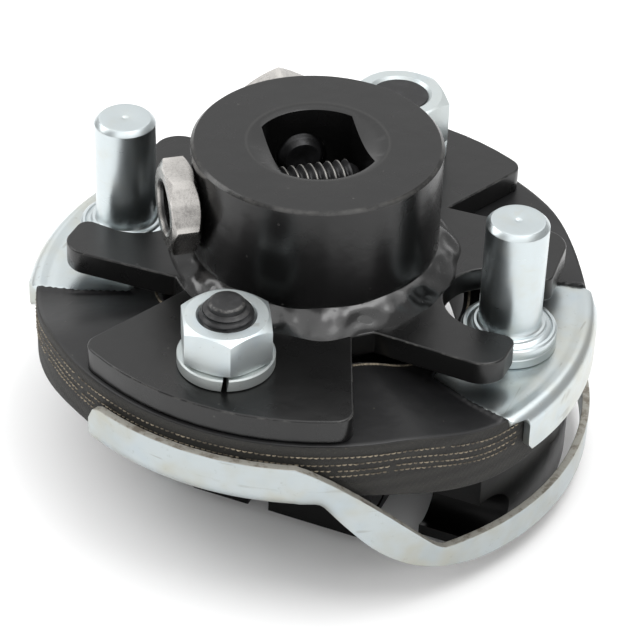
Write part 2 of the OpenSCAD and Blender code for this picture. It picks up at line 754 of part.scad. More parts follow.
module lower_flange() {
    color([0.18, 0.18, 0.18])
    difference() {
        union() {
            cylinder(d = lower_hub_d, h = lower_hub_h + e);
            translate([0, 0, lower_hub_h]) linear_extrude(yoke_t) {
                circle(d = lower_hub_d + 2 * yoke_lip);
                square([2 * (pin_circle + ear_end - ear_w), 2 * ear_w], center = true);
                for (side = [-1, 1])
                    translate([side * (pin_circle + ear_end - ear_w), 0]) circle(r = ear_w);
            }
            translate([0, 0, block_lift]) linear_extrude(lower_hub_h - block_lift + e) polygon(block_points());
            translate([0, 0, block_lift]) linear_extrude(z_yoke - block_lift)
                intersection() {
                    circle(r = boss_out);
                    translate([boss_in, -boss_w]) square([disc_r, 2 * boss_w]);
                }
        }
        translate([0, 0, -e]) cylinder(d = lower_bore_d, h = z_yoke + 2 * e);
        translate([slot_x - slot_w / 2, -disc_r, -e]) cube([slot_w, disc_r, lower_hub_h + e]);
        translate([-disc_r, -pinch_y, z_pinch]) rotate([0, 90, 0])
            cylinder(d = pinch_d + 2 * pinch_hole_play, h = 2 * disc_r, $fn = small_fn);
        translate([-block_left - seat_depth, -pinch_y, z_pinch]) rotate([0, 90, 0])
            cylinder(d = washer_d + 2 * e, h = seat_depth, $fn = small_fn);
        for (side = [-1, 1])
            translate([side * pin_circle, 0, lower_hub_h - e])
                cylinder(d = shank_d + 2 * shank_play, h = yoke_t + 2 * e, $fn = small_fn);
        translate([pin_circle, 0, block_lift - e])
            cylinder(d = rivet_d + 2 * e, h = lower_hub_h - block_lift + e, $fn = small_fn);
    }
}

module pinch_bolt() {
    color([0.2, 0.2, 0.2])
    translate([0, -pinch_y, z_pinch]) rotate([0, -90, 0]) {
        translate([0, 0, block_left + washer_t]) rotate(30) hex_prism(pinch_af, pinch_head_t);
        translate([0, 0, -block_right])
            cylinder(d = pinch_d, h = block_left + block_right + washer_t + e, $fn = small_fn);
    }
}

module pinch_washer() {
    color([0.76, 0.78, 0.77])
    translate([-block_left, -pinch_y, z_pinch]) rotate([0, -90, 0]) rotate(180)
        split_washer(washer_d, pinch_d + 2 * disc_gap, washer_t);
}

upper_hub();
upper_flange();
weld_bead();
set_screw_side();
set_screw_rear();
jam_nut(side_screw_angle, jam_t, 30);  // jam_nut_side
jam_nut(rear_screw_angle, rear_jam_t, 0);  // jam_nut_rear
flex_disc();
pin_clip_left();
pin_clip_right();
stop_pin_left();
stop_pin_right();
pad_bolt_front();
pad_bolt_rear();
hex_nut_front();
hex_nut_rear();
lock_washer_front();
lock_washer_rear();
retainer_strap();
lower_flange();
pinch_bolt();
pinch_washer();
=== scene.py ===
"""Looks of a flexible disc coupler for a steering column, on top of its CAD frame.

Z is the shaft axis, X runs through the two stop pins and Y through the two pad bolts.
Shapes are worked out in millimetres and scaled to metres when a piece is made.
"""

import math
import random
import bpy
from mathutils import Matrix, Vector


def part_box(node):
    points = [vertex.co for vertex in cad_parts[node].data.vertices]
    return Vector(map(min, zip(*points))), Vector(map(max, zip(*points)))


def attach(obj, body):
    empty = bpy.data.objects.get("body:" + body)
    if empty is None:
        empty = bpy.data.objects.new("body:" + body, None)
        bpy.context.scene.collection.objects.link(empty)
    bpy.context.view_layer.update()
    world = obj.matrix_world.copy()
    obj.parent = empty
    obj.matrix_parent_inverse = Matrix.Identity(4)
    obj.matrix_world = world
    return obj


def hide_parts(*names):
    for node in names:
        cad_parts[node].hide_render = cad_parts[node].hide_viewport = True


bl_info = {
    "name": "Flexible Disc Coupler",
    "version": (1, 0, 0),
    "blender": (4, 5, 0),
    "location": "3D View > Sidebar > Coupler",
    "description": "Builds the pieces and finishes of a steering-column flexible disc coupler",
    "category": "Object",
}

from collections import namedtuple

import bmesh
import bpy
from bpy.props import FloatProperty, FloatVectorProperty, IntProperty, PointerProperty
from mathutils import Matrix, Vector, noise

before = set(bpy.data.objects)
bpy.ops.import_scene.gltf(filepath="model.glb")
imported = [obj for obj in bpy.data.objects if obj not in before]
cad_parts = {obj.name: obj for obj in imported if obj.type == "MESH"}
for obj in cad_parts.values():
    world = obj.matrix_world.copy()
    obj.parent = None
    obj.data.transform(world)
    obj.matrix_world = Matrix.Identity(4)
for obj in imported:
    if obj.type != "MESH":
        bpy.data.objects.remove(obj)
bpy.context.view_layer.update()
MM = 0.001


def node_box(node):
    """Lowest and highest corner of a CAD node, in millimetres."""
    low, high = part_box(node)
    return [v / MM for v in low], [v / MM for v in high]


def clamp(value):
    """The value, kept from 0 to 1."""
    return min(1.0, max(0.0, value))


def eased(value, low, high):
    """0 up to low and 1 from high on, with a smooth rise between."""
    t = clamp((value - low) / (high - low))
    return t * t * (3 - 2 * t)


def polar(radius, turn, height):
    """Point at a radius and a turn, in radians, about the Z axis."""
    return radius * math.cos(turn), radius * math.sin(turn), height


def linear(red, green, blue):
    """Scene-linear colour of an 8-bit display colour."""
    return tuple(
        c / 255 / 12.92 if c / 255 <= 0.04045 else ((c / 255 + 0.055) / 1.055) ** 2.4
        for c in (red, green, blue)
    )


def length(name, description, default_mm, low=0.0, high=200.0):
    """A length property whose default is given in millimetres."""
    return FloatProperty(
        name=name, description=description, default=default_mm * MM,
        min=low * MM, max=high * MM, unit="LENGTH", precision=5,
    )


def colour(name, description, default):
    """A colour property with a scene-linear default."""
    return FloatVectorProperty(
        name=name, description=description, default=default, size=3,
        min=0.0, max=1.0, subtype="COLOR",
    )


def power(name, description, default):
    """The power of a light as a property."""
    return FloatProperty(name=name, description=description, default=default, min=0, max=200, unit="POWER")


DISC_RADIUS = node_box("flex_disc")[1][0]
HUB_TOP = node_box("upper_hub")[1][2]
PLATE_FOOT, PLATE_TOP = (corner[2] for corner in node_box("upper_flange"))
CLIP_FOOT, CLIP_TOP = (corner[2] for corner in node_box("pin_clip_right"))
PIN_FOOT, PIN_TOP = (corner[2] for corner in node_box("stop_pin_right"))
STRAP_LOW, STRAP_HIGH = node_box("retainer_strap")

# Outside radius of the hub, and the radii at which the finishes of the disc's edge and the strap run round
HUB_RADIUS = 19.09
EDGE_RADIUS = 42.9
STRAP_RADIUS = 44.0
# Distance of the stop pins from the shaft axis
PIN_CIRCLE = 32.2
# Height of the strap's two webs, on which the pad bolts' heads bear
WEB_FOOT = 19.4
# Half outline of a clip seen from above, as (x, half width) up to its lip, and half the lip's width
CLIP_INNER = 25.2
CLIP_OUTLINE = [(CLIP_INNER, 13.4), (PIN_CIRCLE, 16.33), (37.75, 17.9), (39.4, 17.9)]
LIP_HALF = 15.4

# Shades that the finishes mix in: dust, soot, stains, worn edges and cut fabric; the dust grey and the
# worn-oxide grey also give painted highlights, the bore grey is painted shade and the rubber's sheen is
# painted
DUST_AND_HIGHLIGHT = linear(96, 95, 92)
WELD_SOOT = linear(60, 58, 55)
WORN_AND_HIGHLIT_OXIDE = linear(150, 148, 144)
ZINC_BLUE = linear(182, 196, 206)
ZINC_STAIN = linear(134, 129, 116)
TORN_ZINC = linear(166, 164, 156)
EDGE_RUST = linear(88, 74, 56)
PAINTED_BORE_SHADE = linear(70, 70, 70)
RUBBER_SHEEN = linear(38, 38, 39)
LINT = linear(120, 116, 104)
DARK_PLY = linear(30, 29, 28)
FRAYED_PLY = linear(112, 104, 86)
THREAD_SOOT = linear(62, 56, 47)
THREAD_SHADE = linear(60, 52, 40)
BLACK = (0.0, 0.0, 0.0)


class CouplerDiscSizes(bpy.types.PropertyGroup):
    """Sizes of the rubber disc, its stitching and its clips"""

    radius: length("Disc radius", "Outside radius of the rubber disc", DISC_RADIUS)
    hole_radius: length("Hole radius", "Radius of the disc's middle hole", 23.5)
    thickness: length("Disc thickness", "Thickness of the disc at the pad bolts", 9.4)
    sag_top: length("Top sag", "How far the top lies lower at the pins", 3.0)
    sag_low: length("Underside sag", "How far the underside lies lower at the pins", 3.9)
    stitch_pitch: length("Stitch pitch", "Distance from one stitch to the next", 0.86)
    stitch_width: length("Stitch width", "Width of the sewing thread", 0.26)
    clip_sheet: length("Clip sheet", "Thickness of the clips' sheet", 1.2)


class CouplerMetalSizes(bpy.types.PropertyGroup):
    """Sizes of the strap, pins, screws, bolts and weld"""

    strap_sheet: length("Strap sheet", "Thickness of the retainer strap", 1.2)
    pin_radius: length("Pin radius", "Radius of the stop pins", 4.76)
    bolt_radius: length("Front bolt radius", "Radius of the front pad bolt", 4.0)
    bolt_pitch: length("Bolt thread pitch", "Pitch of the front pad bolt's thread", 1.06)
    rear_bolt_radius: length("Rear bolt radius", "Radius of the rear pad bolt", 4.75)
    screw_radius: length("Set screw radius", "Radius of the set screws", 3.95)
    screw_pitch: length("Set screw pitch", "Pitch of the set screws' thread", 1.41)
    nut_flats: length("Front nut width", "Width across flats of the front nut", 12.7)
    rear_nut_flats: length("Rear nut width", "Width across flats of the rear nut", 14.3)
    jam_flats: length("Jam nut width", "Width across flats of the jam nuts", 12.7)
    weld_leg: length("Weld leg", "Mean leg of the weld bead round the hub", 3.1)
    round_steps: IntProperty(
        name="Steps round", description="Facets round a turned piece", default=96, min=24, max=256,
    )


class CouplerColours(bpy.types.PropertyGroup):
    """Colours of the finishes and of the studio"""

    paint: colour("Black paint", "Baked black paint on the flanges and hub", linear(11, 11, 11))
    oxide: colour("Black oxide", "Blackened steel of the screws and bolts", linear(33, 33, 34))
    rubber: colour("Rubber", "Face rubber of the disc", linear(17, 17, 18))
    ply: colour("Ply edge", "Cut fabric plies on the disc's edge", linear(46, 45, 42))
    thread: colour("Thread", "Sewing thread on the disc's edge", linear(158, 147, 127))
    zinc: colour("Zinc plate", "Bright zinc plating", linear(197, 205, 207))
    zinc_tint: colour("Zinc tint", "Yellowish patches of the plating", linear(191, 190, 178))
    bare_steel: colour("Machined steel", "Machined faces of the jam nuts", linear(200, 197, 193))
    floor: colour("Floor", "Pale floor under the coupler", linear(251, 251, 251))


class CouplerStudio(bpy.types.PropertyGroup):
    """Camera and light of the studio"""

    lens: FloatProperty(
        name="Lens", description="Focal length of the camera", default=146.25, min=20, max=400, unit="CAMERA",
    )
    key_power: power("Key light", "Power of the light at the upper left", 2.6)
    fill_power: power("Back light", "Power of the wide panel behind the part", 2.5)
    side_power: power("Side light", "Power of the panel at the back left", 0.4)
    front_power: power("Front light", "Power of the wide panel over the camera", 3.6)
    lamp_power: power("Overhead lamp", "Power of the small lamp overhead at the right", 3.0)
    top_power: power("Top light", "Power of the light overhead", 9.4)
    sky_strength: FloatProperty(
        name="Room light", description="Strength of the light that fills the room", default=0.5, min=0, max=4,
    )


def disc_sizes():
    return bpy.context.scene.coupler_disc


def metal_sizes():
    return bpy.context.scene.coupler_metal


def colours():
    return bpy.context.scene.coupler_colours


def studio():
    return bpy.context.scene.coupler_studio


class Field:
    """A number that varies over a surface: expressions on it add Math nodes."""

    def __init__(self, finish, socket):
        self.finish = finish
        self.socket = socket

    def _math(self, operation, *inputs):
        node = self.finish.node("ShaderNodeMath", {"operation": operation}, dict(enumerate(inputs)))
        return Field(self.finish, node.outputs[0])

    def __add__(self, other):
        return self._math("ADD", self, other)

    __radd__ = __add__

    def __sub__(self, other):
        return self._math("SUBTRACT", self, other)

    def __rsub__(self, other):
        return self._math("SUBTRACT", other, self)

    def __mul__(self, other):
        return self._math("MULTIPLY", self, other)

    __rmul__ = __mul__

    def __abs__(self):
        return self._math("ABSOLUTE", self)

    def sine(self):
        return self._math("SINE", self)

    def root(self):
        return self._math("SQRT", self)

    def angle_to(self, other):
        return self._math("ARCTAN2", self, other)

    def least(self, other):
        return self._math("MINIMUM", self, other)

    def step(self, low, high):
        """0 below low and 1 above high, with a smooth rise between."""
        node = self.finish.node(
            "ShaderNodeMapRange", {"interpolation_type": "SMOOTHSTEP", "clamp": True},
            {"Value": self, "From Min": low, "From Max": high, "To Min": 0.0, "To Max": 1.0},
        )
        return Field(self.finish, node.outputs["Result"])


class Finish:
    """A procedural material while it is being written."""

    def __init__(self, name):
        self.material = bpy.data.materials.new(name)
        self.material.use_nodes = True
        self.tree = self.material.node_tree
        self.tree.nodes.clear()
        place = self.node("ShaderNodeTexCoord")
        scaled = self.node(
            "ShaderNodeVectorMath", {"operation": "SCALE"},
            {"Vector": place.outputs["Object"], "Scale": 1 / MM},
        )
        self.point = scaled.outputs["Vector"]
        parts = self.node("ShaderNodeSeparateXYZ", {}, {"Vector": self.point})
        self.x, self.y, self.z = (Field(self, s) for s in parts.outputs)
        self.radius = (self.x * self.x + self.y * self.y).root()

    def node(self, kind, settings=None, sockets=None):
        """A node of that kind with its settings made and its sockets filled or linked."""
        node = self.tree.nodes.new(kind)
        for key, value in (settings or {}).items():
            setattr(node, key, value)
        for key, value in (sockets or {}).items():
            self.feed(node.inputs[key], value)
        return node

    def feed(self, socket, value):
        """Links a field or socket to an input, or writes a plain value into it."""
        if isinstance(value, Field):
            value = value.socket
        if isinstance(value, bpy.types.NodeSocket):
            self.tree.links.new(value, socket)
        elif socket.type == "RGBA" and len(value) == 3:
            socket.default_value = (*value, 1.0)
        else:
            socket.default_value = value

    def vector(self, x, y, z):
        return self.node("ShaderNodeCombineXYZ", {}, {"X": x, "Y": y, "Z": z}).outputs["Vector"]

    def grain(self, scale, detail=3.0, rough=0.5, at=None):
        """Cloudy noise from 0 to 1; scale is in features per millimetre."""
        node = self.node(
            "ShaderNodeTexNoise", {},
            {"Vector": at or self.point, "Scale": scale, "Detail": detail, "Roughness": rough},
        )
        return Field(self, node.outputs[0])

    def specks(self, scale):
        """Distance to the nearest of scattered points, for pits and specks."""
        node = self.node("ShaderNodeTexVoronoi", {}, {"Vector": self.point, "Scale": scale})
        return Field(self, node.outputs["Distance"])

    def blend(self, low, high, share):
        """Colour that goes from low to high with the share."""
        node = self.node(
            "ShaderNodeMix", {"data_type": "RGBA", "clamp_factor": True},
            {0: share, 6: low, 7: high},
        )
        return node.outputs[2]

    def relief(self, height, depth_mm, over=None):
        """Normal bumped by a height field that is depth_mm deep at 1."""
        sockets = {"Height": height, "Strength": 1.0, "Distance": depth_mm * MM}
        if over is not None:
            sockets["Normal"] = over
        return self.node("ShaderNodeBump", {}, sockets).outputs["Normal"]

    def surface(self, **sockets):
        """Closes the material with one Principled shader and returns it."""
        named = {key.replace("_", " ").title().replace("Ior", "IOR"): value for key, value in sockets.items()}
        shader = self.node("ShaderNodeBsdfPrincipled", {}, named)
        self.node("ShaderNodeOutputMaterial", {}, {"Surface": shader.outputs[0]})
        return self.material


def black_paint(name, level=1.0, roughness=0.27, wear_and_highlight=None, gloss=0.5):
    """Baked black paint over steel, with faint orange peel, dust and nicks, and a caller's mask of lighter
    edges that is partly worn paint and partly a painted highlight.
    """
    f = Finish(name)
    base = tuple(c * level for c in colours().paint)
    peel = f.grain(0.9, 2.0)
    swell = f.grain(0.13, 2.0, 0.6)
    dust = f.grain(3.2, 4.0, 0.65).step(0.62, 0.80) * f.grain(0.11, 2.0).step(0.46, 0.70)
    nick = (1 - f.specks(0.30).step(0.035, 0.07)) * f.grain(0.2, 1.0).step(0.45, 0.55)
    light = dust * 0.10 + nick * 0.30
    if wear_and_highlight is not None:
        light = light + wear_and_highlight(f)
    # Dust, nicks and the edge mask lighten towards one grey; the edge mask is partly a painted highlight.
    shade = f.blend(base, DUST_AND_HIGHLIGHT, light)
    return f.surface(
        base_color=shade,
        roughness=(swell * 0.14 + dust * 0.10 + (roughness - 0.07)).least(0.8),
        specular_ior_level=gloss,
        normal=f.relief(peel, 0.012, f.relief(swell, 0.10)),
    )


def weld_paint(name):
    """Paint over the weld, with a few pits and sooty grains."""
    f = Finish(name)
    crust = f.grain(0.45, 2.0, 0.4)
    soot = f.grain(1.6, 4.0, 0.65).step(0.64, 0.76)
    base = tuple(colours().paint)
    return f.surface(
        base_color=f.blend(base, WELD_SOOT, soot * 0.25),
        roughness=crust * 0.10 + soot * 0.20 + 0.17,
        specular_ior_level=0.85,
        normal=f.relief(crust, 0.05, f.relief(soot, 0.02)),
    )


def black_oxide(name, axis="z", wear_and_highlight=None):
    """Blackened steel with fine turning marks across the axis, and edges lightened by the caller's mask: worn
    on the front bolt's end, a painted highlight on the set screws' threads.
    """
    f = Finish(name)
    base = colours().oxide
    turned = f.vector(f.x * 0.05, f.y * 0.05, f.z) if axis == "z" else None
    marks = f.grain(5.0, 2.0, 0.5, turned)
    blotch = f.grain(0.5, 3.0, 0.6)
    shade = f.blend(base, tuple(c * 2.1 for c in base), blotch.step(0.45, 0.75))
    if wear_and_highlight is not None:
        shade = f.blend(shade, WORN_AND_HIGHLIT_OXIDE, wear_and_highlight(f))
    return f.surface(
        base_color=shade,
        metallic=0.35,
        roughness=blotch * 0.2 + 0.3,
        normal=f.relief(marks, 0.02, f.relief(blotch, 0.03)),
    )


def zinc_sheet(name, tint=0.35, streak_axis="round", roughness=0.32, level=1.0, metal=1.0):
    """Bright zinc plating on rolled or turned steel, with cloudy tint and drawn streaks."""
    f = Finish(name)
    c = colours()
    around = f.y.angle_to(f.x) * STRAP_RADIUS
    if streak_axis == "round":
        drawn = f.vector(around * 0.06, f.radius * 0.3, f.z * 0.8)
    elif streak_axis == "across":
        drawn = f.vector(f.x * 0.8, f.y * 0.06, f.z * 0.3)
    else:
        drawn = f.vector(f.x * 0.5, f.y * 0.5, f.z * 0.06)
    streak = f.grain(3.0, 3.0, 0.6, drawn)
    cloud = f.grain(0.10, 3.0, 0.6)
    fine = f.grain(6.0, 2.0, 0.6)
    scratch = 1 - f.grain(1.1, 2.0, 0.4, drawn).step(0.29, 0.34)
    scratch = scratch * f.grain(0.25, 2.0).step(0.46, 0.60)
    stain = f.grain(0.7, 4.0, 0.7).step(0.60, 0.74)
    blue = f.grain(0.16, 2.0, 0.5).step(0.50, 0.70)
    shade = f.blend(tuple(c.zinc), tuple(c.zinc_tint), cloud.step(0.38, 0.64) * tint + streak * 0.10)
    shade = f.blend(shade, ZINC_BLUE, blue * 0.35)
    shade = f.blend(shade, ZINC_STAIN, scratch * 0.35 + stain * 0.26)
    shade = f.blend(BLACK, shade, level)
    return f.surface(
        base_color=shade,
        metallic=metal,
        roughness=cloud * 0.14 + streak * 0.08 + stain * 0.1 + (roughness - 0.10),
        normal=f.relief(streak, 0.005, f.relief(fine, 0.003, f.relief(cloud, 0.06))),
    )


def cut_edge(name):
    """Sheared edge of a plated sheet, torn and tarnished brown."""
    f = Finish(name)
    torn = f.grain(2.2, 3.0, 0.7)
    rust = f.grain(0.5, 3.0, 0.7).step(0.46, 0.66)
    return f.surface(
        base_color=f.blend(TORN_ZINC, EDGE_RUST, rust * 0.6),
        metallic=0.6,
        roughness=torn * 0.2 + 0.42,
        normal=f.relief(torn, 0.05),
    )


def turned_zinc(name, centre_x):
    """Bright zinc on turned bar: fine rings on the end, fine lines round the side."""
    f = Finish(name)
    c = colours()
    dx = f.x - centre_x
    ring = (dx * dx + f.y * f.y).root()
    end = f.z.step(PIN_TOP - 0.4, PIN_TOP - 0.1)
    rings = (ring * 21.0).sine() * 0.5 + 0.5
    lines = f.grain(4.5, 3.0, 0.6, f.vector(f.x * 0.06, f.y * 0.06, f.z))
    cloud = f.grain(0.22, 3.0, 0.6)
    band = f.grain(0.9, 3.0, 0.7, f.vector(f.x * 0.2, f.y * 0.2, f.z)).step(0.62, 0.72) * 0.25
    shade = f.blend(tuple(c.zinc), tuple(c.zinc_tint), cloud.step(0.45, 0.75) * 0.3 + band)
    height = lines * (1 - end) + rings * end * 0.7
    return f.surface(
        base_color=shade,
        metallic=1.0,
        roughness=cloud * 0.10 + lines * 0.10 + 0.20 + end * 0.06,
        normal=f.relief(height, 0.003, f.relief(cloud, 0.008)),
    )


def machined_steel(name, angle, height):
    """Bare machined steel of a jam nut: drawn flats, with bright chamfers and corners that are a painted
    highlight, painted shade on its lower faces and painted shade in its bore.
    """
    f = Finish(name)
    c, s = math.cos(math.radians(angle)), math.sin(math.radians(angle))
    along = f.x * c + f.y * s
    across = f.y * c - f.x * s
    up = f.z - height
    out = (across * across + up * up).root()
    streak = f.grain(5.0, 3.0, 0.65, f.vector(along * 2.6, across * 0.35, up * 0.35))
    cloud = f.grain(0.35, 3.0, 0.6)
    speck = f.grain(2.4, 4.0, 0.75)
    # The bore and the inner part of its mouth are painted dark as painted shade.
    bore = 1 - out.step(3.95, 4.35)
    base = tuple(colours().bare_steel)
    worn = cloud.step(0.40, 0.70) * 0.25 + streak.step(0.45, 0.7) * 0.20 + speck.step(0.44, 0.62) * 0.25
    # Painted light: the flats darken with mottling and, below the top, with painted shade, while the corners
    # keep the bright base as a painted highlight.
    flat = 1 - out.step(6.85, 7.08)
    under = 1 - up.step(3.0, 3.9)
    shade = f.blend(base, tuple(k * 0.42 for k in base), (worn + under * 0.45) * flat)
    return f.surface(
        base_color=f.blend(shade, PAINTED_BORE_SHADE, bore),
        metallic=1.0,
        roughness=streak * 0.12 + 0.20,
        normal=f.relief(streak, 0.012),
    )


def disc_rubber(name):
    """Moulded rubber face, and the cut edge where the fabric plies show."""
    f = Finish(name)
    c = colours()
    around = f.y.angle_to(f.x) * EDGE_RADIUS
    edge = f.radius.step(EDGE_RADIUS - 0.35, EDGE_RADIUS - 0.15)
    fuzz = f.grain(3.4, 4.0, 0.7, f.vector(around, f.radius, f.z * 1.3))
    weave = (around * 5.2).sine() * (f.z * 5.6).sine() * 0.5 + 0.5
    waver = f.grain(0.25, 2.0, 0.5, f.vector(around * 0.5, 0, f.z))
    ply = (f.z * 2.9 + waver * 3.0).sine() * 0.5 + 0.5
    smooth_face = f.grain(0.10, 3.0, 0.6)
    scuff = 1 - f.grain(0.9, 3.0, 0.5, f.vector(f.x, f.y * 0.25, f.z)).step(0.27, 0.33)
    lint = (1 - f.specks(0.55).step(0.03, 0.07)) * f.grain(0.3, 1.0).step(0.5, 0.6)
    face = f.blend(tuple(c.rubber), RUBBER_SHEEN, smooth_face.step(0.42, 0.75) * 0.30 + scuff * 0.25)
    face = f.blend(face, LINT, lint * 0.5)
    cut = f.blend(tuple(c.ply), DARK_PLY, ply * 0.55 + fuzz * 0.45)
    cut = f.blend(cut, FRAYED_PLY, fuzz.step(0.60, 0.74) * 0.45)
    height = (fuzz * 0.6 + weave * 0.2 + ply * 0.3) * edge
    face_height = smooth_face * 0.5 + scuff * 0.03
    return f.surface(
        base_color=f.blend(face, cut, edge),
        roughness=0.32 + smooth_face * 0.14 + edge * 0.36,
        specular_ior_level=0.42,
        normal=f.relief(height, 0.22, f.relief(face_height, 0.35)),
    )


def sewing_thread(name):
    """Waxed sewing thread, sooty in places."""
    f = Finish(name)
    c = colours()
    around = f.y.angle_to(f.x) * EDGE_RADIUS
    soot = f.grain(0.30, 4.0, 0.75, f.vector(around, 0, f.z * 3.0))
    twist = (around * 9.0 + f.z * 14.0).sine() * 0.5 + 0.5
    shade = f.blend(tuple(c.thread), THREAD_SOOT, soot.step(0.36, 0.62) * 0.9)
    return f.surface(
        base_color=f.blend(shade, THREAD_SHADE, twist * 0.25),
        roughness=0.7 + twist * 0.1,
        normal=f.relief(twist, 0.04),
    )


class Shell:
    """Points in millimetres and faces of a piece while it is being built."""

    def __init__(self):
        self.points = []
        self.faces = []

    def add(self, points):
        start = len(self.points)
        self.points.extend(tuple(p) for p in points)
        return list(range(start, len(self.points)))

    def face(self, *corners):
        self.faces.append(corners)

    def strip(self, rows, closed=True):
        """Joins rows of equally many point numbers with quads."""
        for a, b in zip(rows, rows[1:]):
            count = len(a)
            for i in range(count if closed else count - 1):
                j = (i + 1) % count
                self.face(a[i], a[j], b[j], b[i])

    def turned(self, profile, steps, place, caps=(True, True)):
        """Surface of revolution through (radius, height) points, round the place's Z."""
        rows = []
        for radius, height in profile:
            rows.append(self.add(
                place @ Vector(polar(radius, t, height))
                for t in (2 * math.pi * i / steps for i in range(steps))
            ))
        self.strip(rows)
        for row, capped in ((rows[0], caps[0]), (rows[-1], caps[1])):
            if capped:
                self.face(*row)

    def mesh(self, name):
        data = bpy.data.meshes.new(name)
        data.from_pydata([(x * MM, y * MM, z * MM) for x, y, z in self.points], [], self.faces)
        work = bmesh.new()
        work.from_mesh(data)
        bmesh.ops.remove_doubles(work, verts=work.verts, dist=1e-7)
        bmesh.ops.recalc_face_normals(work, faces=work.faces)
        work.to_mesh(data)
        work.free()
        return data


def moved(x, y, z):
    """Placement at a point."""
    return Matrix.Translation((x, y, z))


def turned_by(angle, axis="Z"):
    """Turn by degrees about an axis through the origin."""
    return Matrix.Rotation(math.radians(angle), 4, axis)


def apply_modifiers(piece):
    """Turns the piece's modifiers into plain mesh."""
    graph = bpy.context.evaluated_depsgraph_get()
    data = bpy.data.meshes.new_from_object(piece.evaluated_get(graph))
    old = piece.data
    piece.modifiers.clear()
    piece.data = data
    bpy.data.meshes.remove(old)


def place_piece(name, shape, materials, body, nodes=(), bevel=0.0, segments=2,
                sheet=0.0, smooth=34, rim=0):
    """Makes the object of a piece, finishes its edges and hangs it on its body."""
    data = shape.mesh(name) if isinstance(shape, Shell) else shape
    if not data.polygons:
        raise RuntimeError(f"{name} came out without faces")
    piece = bpy.data.objects.new(name, data)
    bpy.context.scene.collection.objects.link(piece)
    data.materials.clear()
    for material in materials:
        data.materials.append(material)
    if sheet:
        solid = piece.modifiers.new("sheet", "SOLIDIFY")
        solid.thickness = sheet * MM
        solid.offset = 0.0
        solid.use_even_offset = True
        solid.material_offset_rim = rim
    if bevel:
        edge = piece.modifiers.new("edges", "BEVEL")
        edge.width = bevel * MM
        edge.segments = segments
        edge.limit_method = "ANGLE"
        edge.angle_limit = math.radians(32)
        edge.use_clamp_overlap = True
        data.shade_smooth()
        piece.modifiers.new("flat faces", "WEIGHTED_NORMAL").mode = "FACE_AREA"
    if sheet or bevel:
        apply_modifiers(piece)
    if not bevel:
        piece.data.shade_smooth()
        piece.data.set_sharp_from_angle(angle=math.radians(smooth))
    if nodes:
        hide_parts(*nodes)
    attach(piece, body)
    return piece


def frame_copy(node):
    """Own copy of a CAD node's mesh, welded and with its flat faces joined."""
    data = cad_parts[node].data.copy()
    data.materials.clear()
    work = bmesh.new()
    work.from_mesh(data)
    bmesh.ops.remove_doubles(work, verts=work.verts, dist=2e-6)
    bmesh.ops.dissolve_limit(
        work, angle_limit=math.radians(1.0), verts=work.verts, edges=work.edges, delimit={"NORMAL"},
    )
    for face in work.faces:
        face.material_index = 0
    work.to_mesh(data)
    work.free()
    return data


def ridge(angle, low, high):
    """1 up to low degrees from the pin line and 0 from high on, eased between."""
    off = math.degrees(math.acos(min(1.0, abs(math.cos(math.radians(angle))))))
    return 1 - eased(off, low, high)


def disc_top(angle):
    """Height of the disc's top in the direction angle."""
    return PLATE_FOOT - disc_sizes().sag_top / MM * ridge(angle, 26, 51)


def disc_under(angle):
    """Height of the disc's underside in the direction angle."""
    s = disc_sizes()
    return PLATE_FOOT - s.thickness / MM - s.sag_low / MM * ridge(angle, 24, 62)


def half_width(outline, x):
    """Half the width at x of an outline given as (x, half width) points."""
    for (xa, wa), (xb, wb) in zip(outline, outline[1:]):
        if x <= xb:
            return wa + (wb - wa) * max(0.0, x - xa) / (xb - xa)
    return outline[-1][1]


def threaded_rod(shell, place, radius, pitch, low, high, depth):
    """Helical thread from low to high along the place's Z."""
    turns = (high - low) / pitch
    per_turn, steps = 8, 48
    root_share, flank_share, run_out = 0.12, 0.74, 0.6 * pitch
    rows = []
    for j in range(int(turns * per_turn) + 1):
        row = []
        for i in range(steps):
            around = i / steps
            z = min(high, low + j / per_turn * pitch)
            phase = ((z - low) / pitch - around) % 1.0
            wave = abs(2 * phase - 1)
            crest = clamp((wave - root_share) / flank_share)
            ease = min(1.0, (z - low) / run_out, (high - z) / run_out)
            r = radius - depth + depth * crest * max(0.0, ease)
            t = 2 * math.pi * around
            row.append(place @ Vector(polar(r, t, z)))
        rows.append(shell.add(row))
    shell.strip(rows)
    return rows


def hex_radius(theta, flats):
    """Distance from the middle of a hexagon to its side in direction theta."""
    part = (theta + math.pi / 6) % (math.pi / 3) - math.pi / 6
    return flats / 2 / math.cos(part)


def hex_body(shell, place, flats, low, high, hole=0.0, crown=(True, True)):
    """Hexagonal nut or head along the place's Z with turned crowns on its ends."""
    flat_r = flats / 2 * 0.955
    slope = math.tan(math.radians(30))
    mouth, lip, share, steps = 0.75, 0.12, 0.96, 144
    angles = [2 * math.pi * i / steps for i in range(steps)]

    def ring(fn):
        return shell.add(place @ Vector(polar(r, t, z)) for t, (r, z) in ((t, fn(t)) for t in angles))

    def crowned(reach, end, face, sign):
        def at(t):
            out = hex_radius(t, flats)
            if not crown[end]:
                return out * reach + flat_r * (1 - reach), face
            r = flat_r + (out - flat_r) * reach
            return r, face - sign * (r - flat_r) * slope
        return at

    rows = []
    if hole:
        rows.append(ring(lambda t: (hole + mouth, low)))
    rows.append(ring(lambda t: (flat_r, low)))
    rows.append(ring(crowned(share, 0, low, -1)))
    rows.append(ring(lambda t: (hex_radius(t, flats), crowned(1.0, 0, low, -1)(t)[1] + lip)))
    rows.append(ring(lambda t: (hex_radius(t, flats), crowned(1.0, 1, high, 1)(t)[1] - lip)))
    rows.append(ring(crowned(share, 1, high, 1)))
    rows.append(ring(lambda t: (flat_r, high)))
    if hole:
        rows.append(ring(lambda t: (hole + mouth, high)))
        rows.append(ring(lambda t: (hole, high - mouth)))
        rows.append(ring(lambda t: (hole, low + mouth)))
        rows.append(rows[0])
    shell.strip(rows)
    if not hole:
        shell.face(*rows[0])
        shell.face(*rows[-1])


